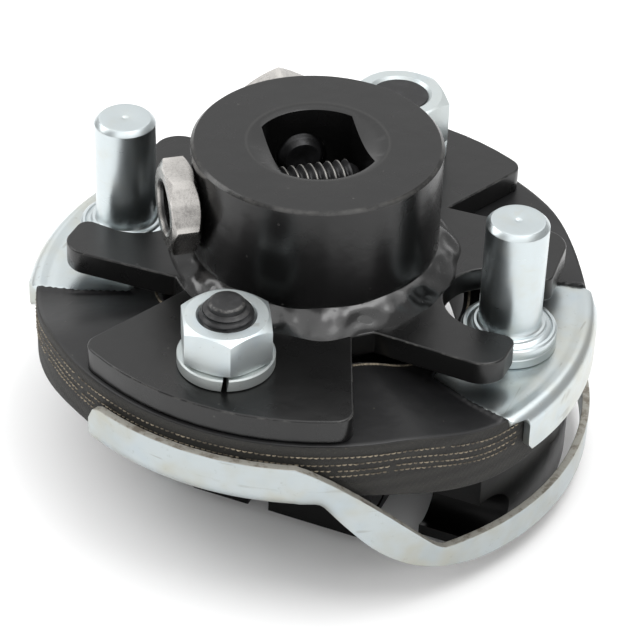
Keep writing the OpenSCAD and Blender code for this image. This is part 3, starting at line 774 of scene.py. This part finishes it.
def split_washer(shell, place, inner, outer, thick):
    """Spring washer with a slanted split."""
    steps, gap, bevel = 72, 0.9, 0.22
    half = math.asin(gap / 2 / outer)
    section = [
        (inner + bevel, 0), (outer - bevel, 0), (outer, bevel), (outer, thick - bevel),
        (outer - bevel, thick), (inner + bevel, thick), (inner, thick - bevel), (inner, bevel),
    ]
    rows = []
    for i in range(steps + 1):
        t = half + (2 * math.pi - 2 * half) * i / steps
        slant = 0.045 if i in (0, steps) else 0.0
        row = []
        for r, z in section:
            a = t + slant * (z / thick - 0.5)
            row.append(place @ Vector(polar(r, a, z)))
        rows.append(shell.add(row))
    shell.strip(rows)
    shell.face(*rows[0])
    shell.face(*rows[-1])


class COUPLER_OT_upper_hub(bpy.types.Operator):
    """Hub with its double-D bore, eased edges and black paint"""

    bl_idname = "coupler.upper_hub"
    bl_label = "Upper Hub"

    def execute(self, context):
        def rubbed_and_highlit(f):
            # The outer rim and the bore's lip are lightened: partly worn paint, partly a painted highlight
            # where these edges catch the light.
            top = f.z.step(HUB_TOP - 0.75, HUB_TOP - 0.15)
            rim = f.radius.step(18.35, 18.75) * top
            lip = (1 - abs(f.radius - 10.75).step(0.05, 0.30)) * top
            return rim * 0.45 * f.grain(0.35, 3.0, 0.6).step(0.30, 0.70) + lip * 0.10

        paint = black_paint("hub_paint", 1.0, 0.26, rubbed_and_highlit)
        place_piece("hub_barrel", frame_copy("upper_hub"), [paint], "upper_half",
                    ["upper_hub"], bevel=0.14)
        return {"FINISHED"}


class COUPLER_OT_flange_plate(bpy.types.Operator):
    """Flange plate with its two bolt pads and four fingers, edges rolled over"""

    bl_idname = "coupler.flange_plate"
    bl_label = "Flange Plate"

    def round_fingers(self, data, radius):
        """Lets the fingers' ends follow the disc's rim and rounds their sharp corners beside the pins."""
        ends_from, straight_to, slope = 32 * MM, 12 * MM, 0.2
        notch_half, notch_shift = 9 * MM, 0.6 * MM
        corners_from, sharp = 33 * MM, 0.8
        work = bmesh.new()
        work.from_mesh(data)
        for v in work.verts:
            if abs(v.co.x) > ends_from:
                lean = slope * min(0.0, straight_to - abs(v.co.y))
                v.co.x *= 1 + lean / abs(v.co.x)
                if abs(v.co.y) < notch_half:
                    v.co.y -= math.copysign(notch_shift, v.co.y)
        corners = []
        for edge in work.edges:
            a, b = (v.co for v in edge.verts)
            upright = math.hypot(a.x - b.x, a.y - b.y) < 1e-6
            if upright and abs(a.x) > corners_from and edge.calc_face_angle(0) > sharp:
                corners.append(edge)
        if len(corners) != 4:
            raise RuntimeError(f"the flange plate has {len(corners)} finger corners instead of 4")
        bmesh.ops.bevel(
            work, geom=corners, offset=radius * MM, segments=6, profile=0.5, affect="EDGES",
            clamp_overlap=True,
        )
        work.to_mesh(data)
        work.free()
        return data

    def execute(self, context):
        def rubbed_and_highlit(f):
            # A lighter band along the plate's rounded top edge: partly worn paint, partly a painted edge
            # highlight.
            high = f.z.step(PLATE_TOP - 0.35, PLATE_TOP - 0.2)
            low = 1 - f.z.step(PLATE_TOP - 0.12, PLATE_TOP - 0.03)
            return high * low * f.grain(0.5, 3.0, 0.6).step(0.46, 0.62) * 0.35

        paint = black_paint("plate_paint", 1.0, 0.29, rubbed_and_highlit)
        plate = self.round_fingers(frame_copy("upper_flange"), 2.1)
        place_piece("flange_plate", plate, [paint], "upper_half", ["upper_flange"],
                    bevel=0.32, segments=3)
        return {"FINISHED"}


class COUPLER_OT_weld(bpy.types.Operator):
    """Hand-laid weld bead round the foot of the hub"""

    bl_idname = "coupler.weld"
    bl_label = "Weld Bead"

    def execute(self, context):
        shell = Shell()
        leg = metal_sizes().weld_leg / MM
        root = HUB_RADIUS - 0.09
        steps, across = 480, 20
        rows = []
        for i in range(steps):
            t = 2 * math.pi * i / steps
            c, s = math.cos(t), math.sin(t)
            slow = noise.noise(Vector((c * 1.5, s * 1.5, 3.0)))
            blob = noise.noise(Vector((c * 3.4, s * 3.4, 8.0)))
            ripple = 0.5 + 0.5 * math.sin(t * 17 + 2.6 * slow)
            reach = leg * (1.04 + 0.20 * slow + 0.26 * blob) + 0.14 * ripple
            rise = leg * (1.02 + 0.10 * blob - 0.14 * slow) + 0.05 * ripple
            row = []
            for j in range(across + 1):
                u = j / across
                a = math.pi / 2 * u
                bulge = 1.0 - 0.20 * math.sin(2 * a)
                lump = 0.42 * noise.noise(Vector((c * 7, s * 7, u * 1.3))) * math.sin(math.pi * u)
                r = root + reach * math.cos(a) ** 1.1 * bulge + lump
                z = PLATE_TOP - 0.04 + rise * math.sin(a) ** 1.1 * bulge + lump * 0.8
                row.append((r * c, r * s, z))
            rows.append(shell.add(row))
        rows.append(rows[0])
        for a, b in zip(rows, rows[1:]):
            for j in range(across):
                shell.face(a[j], a[j + 1], b[j + 1], b[j])
            shell.face(a[across], a[0], b[0], b[across])
        place_piece("weld_seam", shell, [weld_paint("weld_metal")],
                    "upper_half", ["weld_bead"], smooth=75)
        return {"FINISHED"}


class COUPLER_OT_set_screws(bpy.types.Operator):
    """Two set screws with their threads, cup points and sockets, and their jam nuts"""

    bl_idname = "coupler.set_screws"
    bl_label = "Set Screws and Jam Nuts"

    def execute(self, context):
        m = metal_sizes()
        z_axis = HUB_TOP - 8.6
        radius = m.screw_radius / MM
        outer = HUB_RADIUS + 2.7
        depth, taper, key_flats, key_depth = 0.72, 0.3, 4.0, 3.4
        steps = 48
        turns = [2 * math.pi * i / steps for i in range(steps)]
        screws = (("side", 218, -6.5, 4.5, 0), ("rear", 128, 8.125, 5.4, 30))
        for side, angle, inner, nut_thick, nut_turn in screws:
            place = moved(0, 0, z_axis) @ turned_by(angle) @ turned_by(90, "Y")

            # Painted highlight: the tops of the thread are lightened towards worn grey.
            def crest_highlight(f, c=math.cos(math.radians(angle)), s=math.sin(math.radians(angle))):
                across, up = f.y * c - f.x * s, f.z - z_axis
                return (across * across + up * up).root().step(radius - 0.09, radius - 0.02) * 0.8

            oxide = black_oxide(f"screw_oxide_{side}", "any", crest_highlight)
            shell = Shell()
            threaded_rod(shell, place, radius, m.screw_pitch / MM, inner + 0.7, outer - taper, depth)
            cup = [(0.6, inner + 0.9), (2.2, inner), (2.7, inner), (radius - depth, inner + 0.7)]
            shell.turned(cup, steps, place, (True, False))
            rows = []
            rim = ((radius - depth, outer - taper), (radius - 1.0, outer))
            socket = ((None, outer), (None, outer - key_depth))
            for reach, z in rim + socket:
                rows.append(shell.add(
                    place @ Vector(polar(r, t, z))
                    for t, r in ((t, reach or hex_radius(t, key_flats)) for t in turns)
                ))
            shell.strip(rows)
            shell.face(*rows[-1])
            place_piece(f"{side}_set_screw", shell, [oxide], "upper_half",
                        [f"set_screw_{side}"], smooth=40)
            nut = Shell()
            hex_body(nut, place @ turned_by(nut_turn), m.jam_flats / MM, HUB_RADIUS, HUB_RADIUS + nut_thick,
                     hole=radius - 0.25)
            steel = machined_steel(f"nut_steel_{side}", angle, z_axis)
            place_piece(f"{side}_jam_nut", nut, [steel], "upper_half",
                        [f"jam_nut_{side}"], smooth=24)
        return {"FINISHED"}


class COUPLER_OT_rubber_disc(bpy.types.Operator):
    """Rubber disc that sags towards the pins and bulges beside the clips"""

    bl_idname = "coupler.rubber_disc"
    bl_label = "Rubber Disc"

    def clip_gap(self, x, y):
        """Distance outside a clip's edge, negative inside."""
        wide = half_width(CLIP_OUTLINE + [(40.5, LIP_HALF)], abs(x))
        return max(abs(y) - wide, CLIP_INNER - abs(x))

    def under_clip(self, gap):
        """1 where a clip presses the rubber down and 0 outside its edge."""
        return clamp((0.05 - gap) / 0.3)

    def execute(self, context):
        s = disc_sizes()
        outer, hole = s.radius / MM, s.hole_radius / MM
        rim_round, slack, seat, near = 0.55, 0.03, 25.68, 1.6
        shell = Shell()
        around, spokes, wall = 720, 44, 14
        rows = []
        for i in range(around):
            angle = 360 * i / around
            c, sn = math.cos(math.radians(angle)), math.sin(math.radians(angle))
            top, low = disc_top(angle), disc_under(angle)
            off = abs((angle + 180) % 360 - 180)
            off = min(off, 180 - off)
            bent = 1.8 if 66 <= off <= 90 else 0.7
            wave = 0.10 * noise.noise(Vector((c * 3, sn * 3, 1.0)))
            row = []
            for k in range(spokes + 1):
                r = hole + (outer - rim_round - hole) * k / spokes
                x, y = r * c, r * sn
                gap = self.clip_gap(x, y)
                z = top + 0.05 * noise.noise(Vector((x * 0.12, y * 0.12, 0)))
                if gap < near:
                    swell = math.exp(-((gap - 0.42) / 0.42) ** 2)
                    z += 0.34 * swell * (1 + 0.35 * math.sin(5.2 * (abs(x) + 0.4 * abs(y))))
                    sink = self.under_clip(gap)
                    z = z * (1 - sink) + seat * sink
                if k == 0:
                    z -= 0.25
                row.append((x, y, z))
            sunk = self.under_clip(self.clip_gap(outer * c, outer * sn))
            crown = top * (1 - sunk) + seat * sunk
            for drop, inset in ((0.14, 0.22), (0.34, 0.06), (0.62, 0.0)):
                r = outer - inset - slack
                row.append((r * c, r * sn, crown - drop))
            for k in range(wall + 1):
                share = k / wall
                z = (crown - 0.9) + ((low + bent) - (crown - 0.9)) * share
                fray = 0.05 * noise.noise(Vector((angle * 0.55, z * 1.1, 0)))
                r = outer - slack - abs(fray) - abs(wave) * 0.3
                row.append((r * c, r * sn, z))
            for t in (0.35, 0.7, 1.0):
                a = t * math.pi / 2
                r = outer - slack - bent * (1 - math.cos(a))
                row.append((r * c, r * sn, low + bent * (1 - math.sin(a))))
            for k in range(1, 9):
                r = outer - bent + (hole - outer + bent) * k / 8
                row.append((r * c, r * sn, low))
            rows.append(shell.add(row))
        rows.append(rows[0])
        shell.strip(rows)
        place_piece("rubber_disc", shell, [disc_rubber("disc_rubber")],
                    "disc", ["flex_disc"], smooth=50)
        return {"FINISHED"}


class COUPLER_OT_stitching(bpy.types.Operator):
    """Four rows of thread round the disc's edge, left out behind the clips' lips, and one round its hole"""

    bl_idname = "coupler.stitching"
    bl_label = "Edge Stitching"

    def cord(self, shell):
        """One round of thread laid on the disc's top, close to its middle hole."""
        steps, circle, half = 240, 24.35, 0.24
        rows = []
        for i in range(steps):
            t = 2 * math.pi * i / steps
            r = circle + 0.10 * noise.noise(Vector((math.cos(t) * 6, math.sin(t) * 6, 0)))
            z = disc_top(360 * i / steps) - 0.06
            row = []
            for q in range(8):
                b = 2 * math.pi * q / 8
                row.append(polar(r + half * math.cos(b), t, z + half * math.sin(b)))
            rows.append(shell.add(row))
        rows.append(rows[0])
        shell.strip(rows)

    def execute(self, context):
        s = disc_sizes()
        rng = random.Random(11)
        shell = Shell()
        radius = s.radius / MM - 0.05
        count = int(2 * math.pi * radius / (s.stitch_pitch / MM))
        half_w = s.stitch_width / MM / 2
        behind_lip = math.cos(math.radians(2 * 22.0))
        for row_number, drop in enumerate((1.88, 3.21, 4.36, 5.32)):
            phase = rng.random()
            for i in range(count):
                at = (i + phase) * 360 / count
                if rng.random() < 0.035:
                    continue
                span = (0.78 + 0.26 * rng.random()) * 360 / count
                if math.cos(math.radians(2 * at)) > behind_lip:
                    continue
                lean = 0.05 + 0.16 * (rng.random() - 0.5)
                sink = 0.07 * rng.random()
                wave = 0.16 * noise.noise(Vector((at * 0.06, row_number * 5.0, 0)))
                rings = []
                for k in range(5):
                    u = k / 4
                    a = math.radians(at + span * (u - 0.5))
                    z = disc_top(math.degrees(a)) - drop + wave + lean * (u - 0.5)
                    fat = half_w * (0.35 + 0.65 * math.sin(math.pi * (u * 0.9 + 0.05)))
                    bulge = 0.15 * math.sin(math.pi * u) - sink - 0.02
                    ring = []
                    for q in range(6):
                        b = 2 * math.pi * q / 6
                        r = radius + bulge + fat * 0.7 * math.cos(b)
                        ring.append(polar(r, a, z + fat * math.sin(b)))
                    rings.append(shell.add(ring))
                shell.strip(rings)
                shell.face(*rings[0])
                shell.face(*rings[-1])
        self.cord(shell)
        place_piece("edge_stitching", shell, [sewing_thread("sewing_thread")],
                    "disc", smooth=80)
        return {"FINISHED"}


class COUPLER_OT_clips(bpy.types.Operator):
    """Two sheet clips folded over the disc's edge"""

    bl_idname = "coupler.clips"
    bl_label = "Pin Clips"

    def execute(self, context):
        sheet = disc_sizes().clip_sheet / MM
        top = CLIP_TOP - sheet / 2
        fold = 2.2 - sheet / 2
        out = 44.4 - sheet / 2
        flat_end = out - fold
        outline = CLIP_OUTLINE + [(40.2, 15.9), (40.7, LIP_HALF)]

        def edge_y(r):
            """Half the clip's width where its outline crosses the circle of radius r."""
            low, high = 0.0, r
            for _ in range(40):
                y = (low + high) / 2
                x = math.sqrt(max(0.0, r * r - y * y))
                low, high = (y, high) if y < half_width(outline, x) else (low, y)
            return low

        arc_steps, lip_steps, steps_in, across = 7, 4, 22, 56
        section = [(flat_end, top)]
        for k in range(1, arc_steps + 1):
            a = math.pi / 2 * k / arc_steps
            section.append((out - fold + fold * math.sin(a), top - fold + fold * math.cos(a)))
        for k in range(1, lip_steps + 1):
            section.append((out, top - fold + (CLIP_FOOT - top + fold) * k / lip_steps))
        y_rim = edge_y(flat_end)
        x_rim = math.sqrt(flat_end ** 2 - y_rim ** 2)
        half_rim = math.asin(y_rim / flat_end)
        for side, sign in (("right", 1), ("left", -1)):
            zinc = zinc_sheet(f"clip_zinc_{side}", 0.55, "across", 0.30)
            shell = Shell()
            rows = []
            for k in range(steps_in):
                u = k / steps_in
                row = []
                for j in range(across + 1):
                    v = 2 * j / across - 1
                    x = CLIP_INNER + (flat_end * math.cos(v * half_rim) - CLIP_INNER) * u
                    y = v * half_width(outline, CLIP_INNER + (x_rim - CLIP_INNER) * u)
                    dish = -0.10 * math.exp(-((x - PIN_CIRCLE) ** 2 + y * y) / 60)
                    dish -= 0.12 * math.exp(-((math.hypot(x, y) - flat_end + 1.0) / 0.8) ** 2)
                    row.append((sign * x, y, top + dish))
                rows.append(shell.add(row))
            for r, z in section:
                tuck = clamp((z - CLIP_FOOT) / 1.6)
                a_edge = math.asin((edge_y(r) - 0.9 * (1 - tuck) ** 2) / r)
                row = []
                for j in range(across + 1):
                    a = (2 * j / across - 1) * a_edge
                    row.append((sign * r * math.cos(a), r * math.sin(a), z))
                rows.append(shell.add(row))
            shell.strip(rows, closed=False)
            place_piece(f"{side}_clip", shell, [zinc], "lower_half", [f"pin_clip_{side}"],
                        sheet=sheet, bevel=0.22)
        return {"FINISHED"}


class COUPLER_OT_stop_pins(bpy.types.Operator):
    """Two turned stop pins with centre marks and stepped collars"""

    bl_idname = "coupler.stop_pins"
    bl_label = "Stop Pins"

    def execute(self, context):
        m = metal_sizes()
        r = m.pin_radius / MM
        wide, groove, rivet, hole = 7.3, 7.18, 6.0, 4.0
        foot, top, low = CLIP_TOP, PIN_TOP, PIN_FOOT
        collar = foot + 3.5
        rivet_head = [
            (5.0, low), (5.6, low + 0.15), (5.92, low + 0.55), (rivet, low + 1.2), (rivet, low + 2.0),
            (hole, low + 2.0), (hole, foot),
        ]
        flange = [
            (7.12, foot), (wide, foot + 0.2), (wide, foot + 1.5), (groove, foot + 1.62),
            (groove, foot + 1.8), (wide, foot + 1.92), (wide, collar - 0.7), (7.2, collar - 0.42),
            (6.95, collar - 0.22), (6.6, collar - 0.16), (6.42, collar - 0.30), (6.22, collar - 0.16),
            (5.72, collar + 0.05), (5.6, collar + 0.35), (5.4, collar + 0.5), (5.02, collar + 0.56),
            (4.84, collar + 0.75),
        ]
        shank = [
            (r, collar + 1.15), (r, collar + 1.5), (r, top - 1.1), (r, top - 0.78),
            (r - 0.08, top - 0.66), (r - 0.60, top - 0.12), (r - 0.70, top - 0.03), (r - 0.82, top),
        ]
        centre_mark = [(r - 1.1, top), (0.7, top), (0.55, top - 0.02), (0.42, top - 0.08), (0.1, top - 0.2)]
        profile = rivet_head + flange + shank + centre_mark
        for side, sign in (("left", -1), ("right", 1)):
            shell = Shell()
            shell.turned(profile, m.round_steps, moved(sign * PIN_CIRCLE, 0, 0))
            finish = turned_zinc(f"pin_zinc_{side}", sign * PIN_CIRCLE)
            place_piece(f"{side}_stop_pin", shell, [finish], "lower_half",
                        [f"stop_pin_{side}"], smooth=26)
        return {"FINISHED"}


# A pad bolt's circle is its Y, and past is how far it stands out of its nut
PadBolt = namedtuple("PadBolt", "side circle turn radius flats head washer nut past nut_turn split_turn")


class COUPLER_OT_pad_bolts(bpy.types.Operator):
    """Pad bolts with threads and dog points, their nuts and spring washers"""

    bl_idname = "coupler.pad_bolts"
    bl_label = "Pad Bolts, Nuts and Washers"

    def bolt(self, b, place, nut_top, end, pitch):
        """A bolt from its head under the strap's web to its end above the nut."""
        r, depth = b.radius, 0.52
        foot = WEB_FOOT - 0.1
        shell = Shell()
        hex_body(shell, place @ moved(0, 0, WEB_FOOT - b.head) @ turned_by(41), b.flats, 0.0, b.head,
                 crown=(True, False))
        if b.side == "front":
            thread_low, thread_high = nut_top - 1.6, end - 0.25
            shell.turned([(r - 0.05, foot), (r - 0.05, nut_top - 1.4)], 48, place)
            rows = threaded_rod(shell, place, r, pitch, thread_low, thread_high, depth)
            shell.face(*rows[0])
            dog_point = [
                (r - depth, thread_high), (r - 0.9, end - 0.02), (2.86, end), (2.72, end + 0.1),
                (2.70, end + 0.75), (2.45, end + 1.02), (2.1, end + 1.1),
            ]
            shell.turned(dog_point, 48, place, (False, True))
        else:
            plain_end = [
                (r - 0.05, foot), (r - 0.05, end - 0.35), (r - 0.09, end - 0.1), (r - 0.2, end),
                (r - 0.6, end),
            ]
            shell.turned(plain_end, 72, place)

        def worn(f):
            rub = f.grain(1.1, 3.0, 0.6).step(0.36, 0.62)
            lip = f.z.step(end - 0.28, end - 0.1) * (1 - f.z.step(end + 0.02, end + 0.12))
            cap = f.z.step(end + 0.7, end + 0.85) * (1 - f.z.step(end + 1.02, end + 1.09))
            return (lip * 0.06 + cap * 0.25) * rub

        oxide = black_oxide(f"bolt_oxide_{b.side}", "z", worn if b.side == "front" else None)
        place_piece(f"{b.side}_pad_bolt", shell, [oxide], "upper_half",
                    [f"pad_bolt_{b.side}"], smooth=38)

    def execute(self, context):
        m = metal_sizes()
        zinc = zinc_sheet("nut_zinc", 0.15, "up", 0.40, metal=0.85)
        dull = zinc_sheet("washer_zinc", 0.25, "round", 0.42, metal=0.75)
        bolts = (
            PadBolt(
                "front", circle=-31.3, turn=0.9, radius=m.bolt_radius / MM, flats=m.nut_flats / MM,
                head=4.7, washer=2.1, nut=6.5, past=1.4, nut_turn=0, split_turn=-66,
            ),
            PadBolt(
                "rear", circle=31.9, turn=1.7, radius=m.rear_bolt_radius / MM, flats=m.rear_nut_flats / MM,
                head=5.2, washer=2.4, nut=8.4, past=-0.3, nut_turn=12, split_turn=66,
            ),
        )
        for b in bolts:
            place = turned_by(-b.turn) @ moved(0, b.circle, 0)
            nut_low = PLATE_TOP + b.washer
            nut_top = nut_low + b.nut
            end = nut_top + b.past
            self.bolt(b, place, nut_top, end, m.bolt_pitch / MM)
            nut = Shell()
            hex_body(nut, place @ turned_by(30 + b.nut_turn), b.flats, nut_low, nut_top, hole=b.radius - 0.3)
            place_piece(f"{b.side}_hex_nut", nut, [zinc], "upper_half",
                        [f"hex_nut_{b.side}"], smooth=24)
            washer = Shell()
            split_washer(washer, place @ (moved(0, 0, PLATE_TOP) @ turned_by(b.split_turn)),
                         b.radius + 0.3, b.flats * 0.6 - 0.42, b.washer)
            place_piece(f"{b.side}_lock_washer", washer, [dull], "upper_half",
                        [f"lock_washer_{b.side}"], smooth=40)
        return {"FINISHED"}


class COUPLER_OT_strap(bpy.types.Operator):
    """Retainer strap, clamped under the disc and looped low round one pin"""

    bl_idname = "coupler.strap"
    bl_label = "Retainer Strap"

    def execute(self, context):
        sheet = metal_sizes().strap_sheet / MM
        mid_r = STRAP_HIGH[0] - sheet / 2
        web_z = WEB_FOOT + sheet / 2
        bend = 3.0 - sheet / 2
        top_full, loop_top, loop_low = STRAP_HIGH[2], 9.0, STRAP_LOW[2]
        end_mid, bend_rows, band_rows, end_steps, web_steps = 92.0, 8, 10, 34, 8
        left = STRAP_HIGH[0] * math.sin(math.radians(22))
        right = STRAP_HIGH[0] * math.sin(math.radians(21.625))
        corner_r, web_inner = 2.8, 25.6
        rise_from, drop_from, curl_from, curl_to = 39.5, 64.2, 59, 70

        def top_at(a):
            """Height of the loop's top edge, a degrees from the pin that it goes round."""
            share = clamp((math.hypot(a - rise_from, 2.2) - 2.2) / 29) if a > rise_from else 0.0
            return loop_top + (top_full - loop_top) * (1 - (1 - share) ** 1.4)

        def low_at(a, curl):
            """Height of the loop's low edge, a degrees from that pin."""
            share = min(1.0, (drop_from - a + math.hypot(drop_from - a, 1.5)) / 2 / 52.2)
            start = web_z + 1.4 * (1 - curl)
            return start + (loop_low - start) * (1 - (1 - share) ** 4)

        def column(a, high, low, curl):
            """Points from the strap's top edge down to its low edge, whose last part curls inwards."""
            turn = math.radians(a)
            points = [(mid_r, high + (low + bend - high) * k / band_rows) for k in range(band_rows)]
            for k in range(bend_rows + 1):
                b = math.pi / 2 * k / bend_rows
                inset = bend * (1 - math.cos(b)) * curl
                drop = math.sin(b) * curl + k / bend_rows * (1 - curl)
                points.append((mid_r - inset, low + bend - bend * drop))
            return shell.add(polar(r, turn, z) for r, z in points)

        def end_column(sign, t):
            """Wall and web of a bolted end, t along the end from its middle."""
            axis = math.radians(sign * end_mid)
            u = Vector((math.cos(axis), math.sin(axis), 0))
            v = Vector((math.sin(axis), -math.cos(axis), 0)) * sign
            a = end_mid - math.degrees(math.asin(t / mid_r))
            corner = corner_r - math.sqrt(max(0.0, corner_r ** 2 - (corner_r - min(corner_r, t + left)) ** 2))
            rough = 0.07 * noise.noise(Vector((t * 2.2, sign * 9.0, 0)))
            wall = column(sign * a, top_full - corner + rough, web_z, 1.0)
            web = [wall[-1]]
            edge_r = mid_r - bend
            for k in range(1, web_steps + 1):
                r = edge_r + (web_inner - edge_r) * k / web_steps
                limit = r * math.sin(math.radians(30 if t > 0 else 26))
                side = t * min(1.0, limit / (right if t > 0 else left))
                p = u * math.sqrt(r * r - side * side) + v * side
                web += shell.add([(p.x, p.y, web_z)])
            return wall, web

        shell = Shell()
        columns = []
        for sign in (-1, 1):
            ends = [end_column(sign, (left + right) * i / end_steps - left) for i in range(end_steps + 1)]
            for (wall_a, web_a), (wall_b, web_b) in zip(ends, ends[1:]):
                shell.strip([wall_a, wall_b], closed=False)
                shell.strip([web_a, web_b], closed=False)
            columns.append(ends[-1][0])
        loop = [columns[0]]
        for a in range(-69, 70):
            rough = 0.07 * noise.noise(Vector((a * 1.7, 4.0, 0)))
            curl = eased(abs(a), curl_from, curl_to)
            loop.append(column(a, top_at(abs(a)) + rough, low_at(abs(a), curl), curl))
        loop.append(columns[1])
        shell.strip(loop, closed=False)
        finishes = [zinc_sheet("strap_zinc", 0.75, "round", 0.36, 0.80), cut_edge("strap_edge")]
        place_piece("looped_strap", shell, finishes, "upper_half", ["retainer_strap"],
                    sheet=sheet, bevel=0.2, rim=1)
        return {"FINISHED"}


class COUPLER_OT_lower_flange(bpy.types.Operator):
    """Lower flange with its clamp block, clamp bolt and washer"""

    bl_idname = "coupler.lower_flange"
    bl_label = "Lower Flange and Clamp"

    def execute(self, context):
        # A darker copy of the black paint, at 0.4 of its colour: painted shade for the flange that lies under
        # the disc.
        paint = black_paint("lower_shaded_paint", 0.4, 0.34, gloss=0.15)
        place_piece("clamp_flange", frame_copy("lower_flange"), [paint], "lower_half",
                    ["lower_flange"], bevel=0.5, segments=3)
        oxide = black_oxide("clamp_bolt_oxide", "any")
        bolt_y, bolt_z, radius, flats, head = -18, 7.4, 3.95, 12.7, 5.0
        seat, washer_thick, tip = 13.0, 2.1, -19.45
        head_low = seat + washer_thick
        place = moved(0, bolt_y, bolt_z) @ turned_by(-90, "Y")
        bolt = Shell()
        hex_body(bolt, place @ turned_by(30), flats, head_low, head_low + head, crown=(False, True))
        bolt.turned([(radius - 0.55, tip), (radius, tip + 0.55), (radius, head_low + 0.1)], 48, place)
        place_piece("clamp_bolt", bolt, [oxide], "lower_half", ["pinch_bolt"], smooth=38)
        washer = Shell()
        split_washer(washer, place @ (moved(0, 0, seat) @ turned_by(180)), radius + 0.35, 7.2, washer_thick)
        place_piece("clamp_washer", washer, [zinc_sheet("clamp_zinc", 0.25, "up", 0.26)],
                    "lower_half", ["pinch_washer"], smooth=40)
        return {"FINISHED"}


def soft_light(name, spot, target, size, power):
    """Rectangular area light at a spot, aimed at a target, in metres."""
    data = bpy.data.lights.new(name, "AREA")
    data.shape = "RECTANGLE"
    data.size, data.size_y = size
    data.energy = power
    lamp = bpy.data.objects.new(name, data)
    lamp.location = spot
    lamp.rotation_euler = (Vector(target) - Vector(spot)).to_track_quat("-Z", "Y").to_euler()
    bpy.context.scene.collection.objects.link(lamp)
    return lamp


class COUPLER_OT_stage(bpy.types.Operator):
    """Pale floor, soft lights, room light and the camera"""

    bl_idname = "coupler.stage"
    bl_label = "Studio"

    def execute(self, context):
        scene = context.scene
        light = studio()
        reach = 3.0
        corners = [(x * reach, y * reach, 0) for x, y in ((-1, -1), (1, -1), (1, 1), (-1, 1))]
        data = bpy.data.meshes.new("studio_floor")
        data.from_pydata(corners, [], [(0, 1, 2, 3)])
        paper = Finish("floor_paper")
        pale = tuple(colours().floor)
        data.materials.append(paper.surface(base_color=pale, roughness=0.9, specular_ior_level=0.1))
        floor = bpy.data.objects.new("studio_floor", data)
        scene.collection.objects.link(floor)

        world = bpy.data.worlds.new("studio_room")
        scene.world = world
        world.use_nodes = True
        room = world.node_tree.nodes["Background"]
        room.inputs["Color"].default_value = (1.0, 1.0, 1.0, 1.0)
        room.inputs["Strength"].default_value = light.sky_strength

        aim = (0, 0, 0.03)
        soft_light("top_light", (0.08, 0.05, 1.1), aim, (1.7, 1.7), light.top_power)
        soft_light("key_light", (-0.72, -0.10, 0.62), aim, (0.5, 0.5), light.key_power)
        soft_light("back_light", (-0.334, 0.835, 0.52), aim, (1.6, 1.1), light.fill_power)
        soft_light("front_light", (0.37, -0.91, 0.69), aim, (1.6, 1.0), light.front_power)
        soft_light("overhead_lamp", (0.30, 0.08, 1.0), aim, (0.7, 0.4), light.lamp_power)
        soft_light("side_light", (-0.66, 0.56, 0.55), aim, (0.5, 0.7), light.side_power)

        pitch, roll, yaw = 0.643, 0.037, 0.004
        turn = math.radians(22.02)
        away, above, origin_height = 326.814, 235.439, 30
        level = math.cos(pitch)
        forward = Vector((math.sin(yaw) * level, math.cos(yaw) * level, -math.sin(pitch)))
        right = Vector((math.cos(yaw), -math.sin(yaw), 0))
        up = right.cross(forward)
        side = right * math.cos(roll) + up * math.sin(roll)
        crown = up * math.cos(roll) - right * math.sin(roll)
        view = Matrix((side, crown, -forward)).transposed()
        swing = Matrix.Rotation(turn, 3, "Z")
        spot = swing @ Vector((0, -away, above)) + Vector((0, 0, origin_height))
        data = bpy.data.cameras.new("photo_camera")
        data.lens = light.lens
        data.sensor_width = 36
        data.sensor_fit = "HORIZONTAL"
        data.clip_start, data.clip_end = 0.01, 20
        camera = bpy.data.objects.new("photo_camera", data)
        camera.matrix_world = Matrix.Translation(spot * MM) @ (swing @ view).to_4x4()
        scene.collection.objects.link(camera)
        scene.camera = camera
        scene.view_settings.view_transform = "Standard"
        return {"FINISHED"}


class COUPLER_PT_panel(bpy.types.Panel):
    """The coupler's settings and pieces in the sidebar"""

    bl_idname = "COUPLER_PT_panel"
    bl_label = "Flexible Disc Coupler"
    bl_space_type = "VIEW_3D"
    bl_region_type = "UI"
    bl_category = "Coupler"

    def draw(self, context):
        layout = self.layout
        for group in ("coupler_disc", "coupler_metal", "coupler_colours", "coupler_studio"):
            settings = getattr(context.scene, group)
            box = layout.box()
            for key in settings.bl_rna.properties.keys():
                if key not in ("rna_type", "name"):
                    box.prop(settings, key)
        for operator in PIECES:
            layout.operator(operator.bl_idname)


PIECES = (
    COUPLER_OT_stage,
    COUPLER_OT_upper_hub,
    COUPLER_OT_flange_plate,
    COUPLER_OT_weld,
    COUPLER_OT_set_screws,
    COUPLER_OT_rubber_disc,
    COUPLER_OT_stitching,
    COUPLER_OT_clips,
    COUPLER_OT_stop_pins,
    COUPLER_OT_pad_bolts,
    COUPLER_OT_strap,
    COUPLER_OT_lower_flange,
)
GROUPS = (
    ("coupler_disc", CouplerDiscSizes),
    ("coupler_metal", CouplerMetalSizes),
    ("coupler_colours", CouplerColours),
    ("coupler_studio", CouplerStudio),
)


def register():
    for key, group in GROUPS:
        bpy.utils.register_class(group)
        setattr(bpy.types.Scene, key, PointerProperty(type=group))
    for operator in PIECES:
        bpy.utils.register_class(operator)
    bpy.utils.register_class(COUPLER_PT_panel)


def unregister():
    bpy.utils.unregister_class(COUPLER_PT_panel)
    for operator in reversed(PIECES):
        bpy.utils.unregister_class(operator)
    for key, group in reversed(GROUPS):
        delattr(bpy.types.Scene, key)
        bpy.utils.unregister_class(group)


def main():
    register()
    for operator in PIECES:
        family, name = operator.bl_idname.split(".")
        getattr(getattr(bpy.ops, family), name)()


if __name__ == "__main__":
    main()
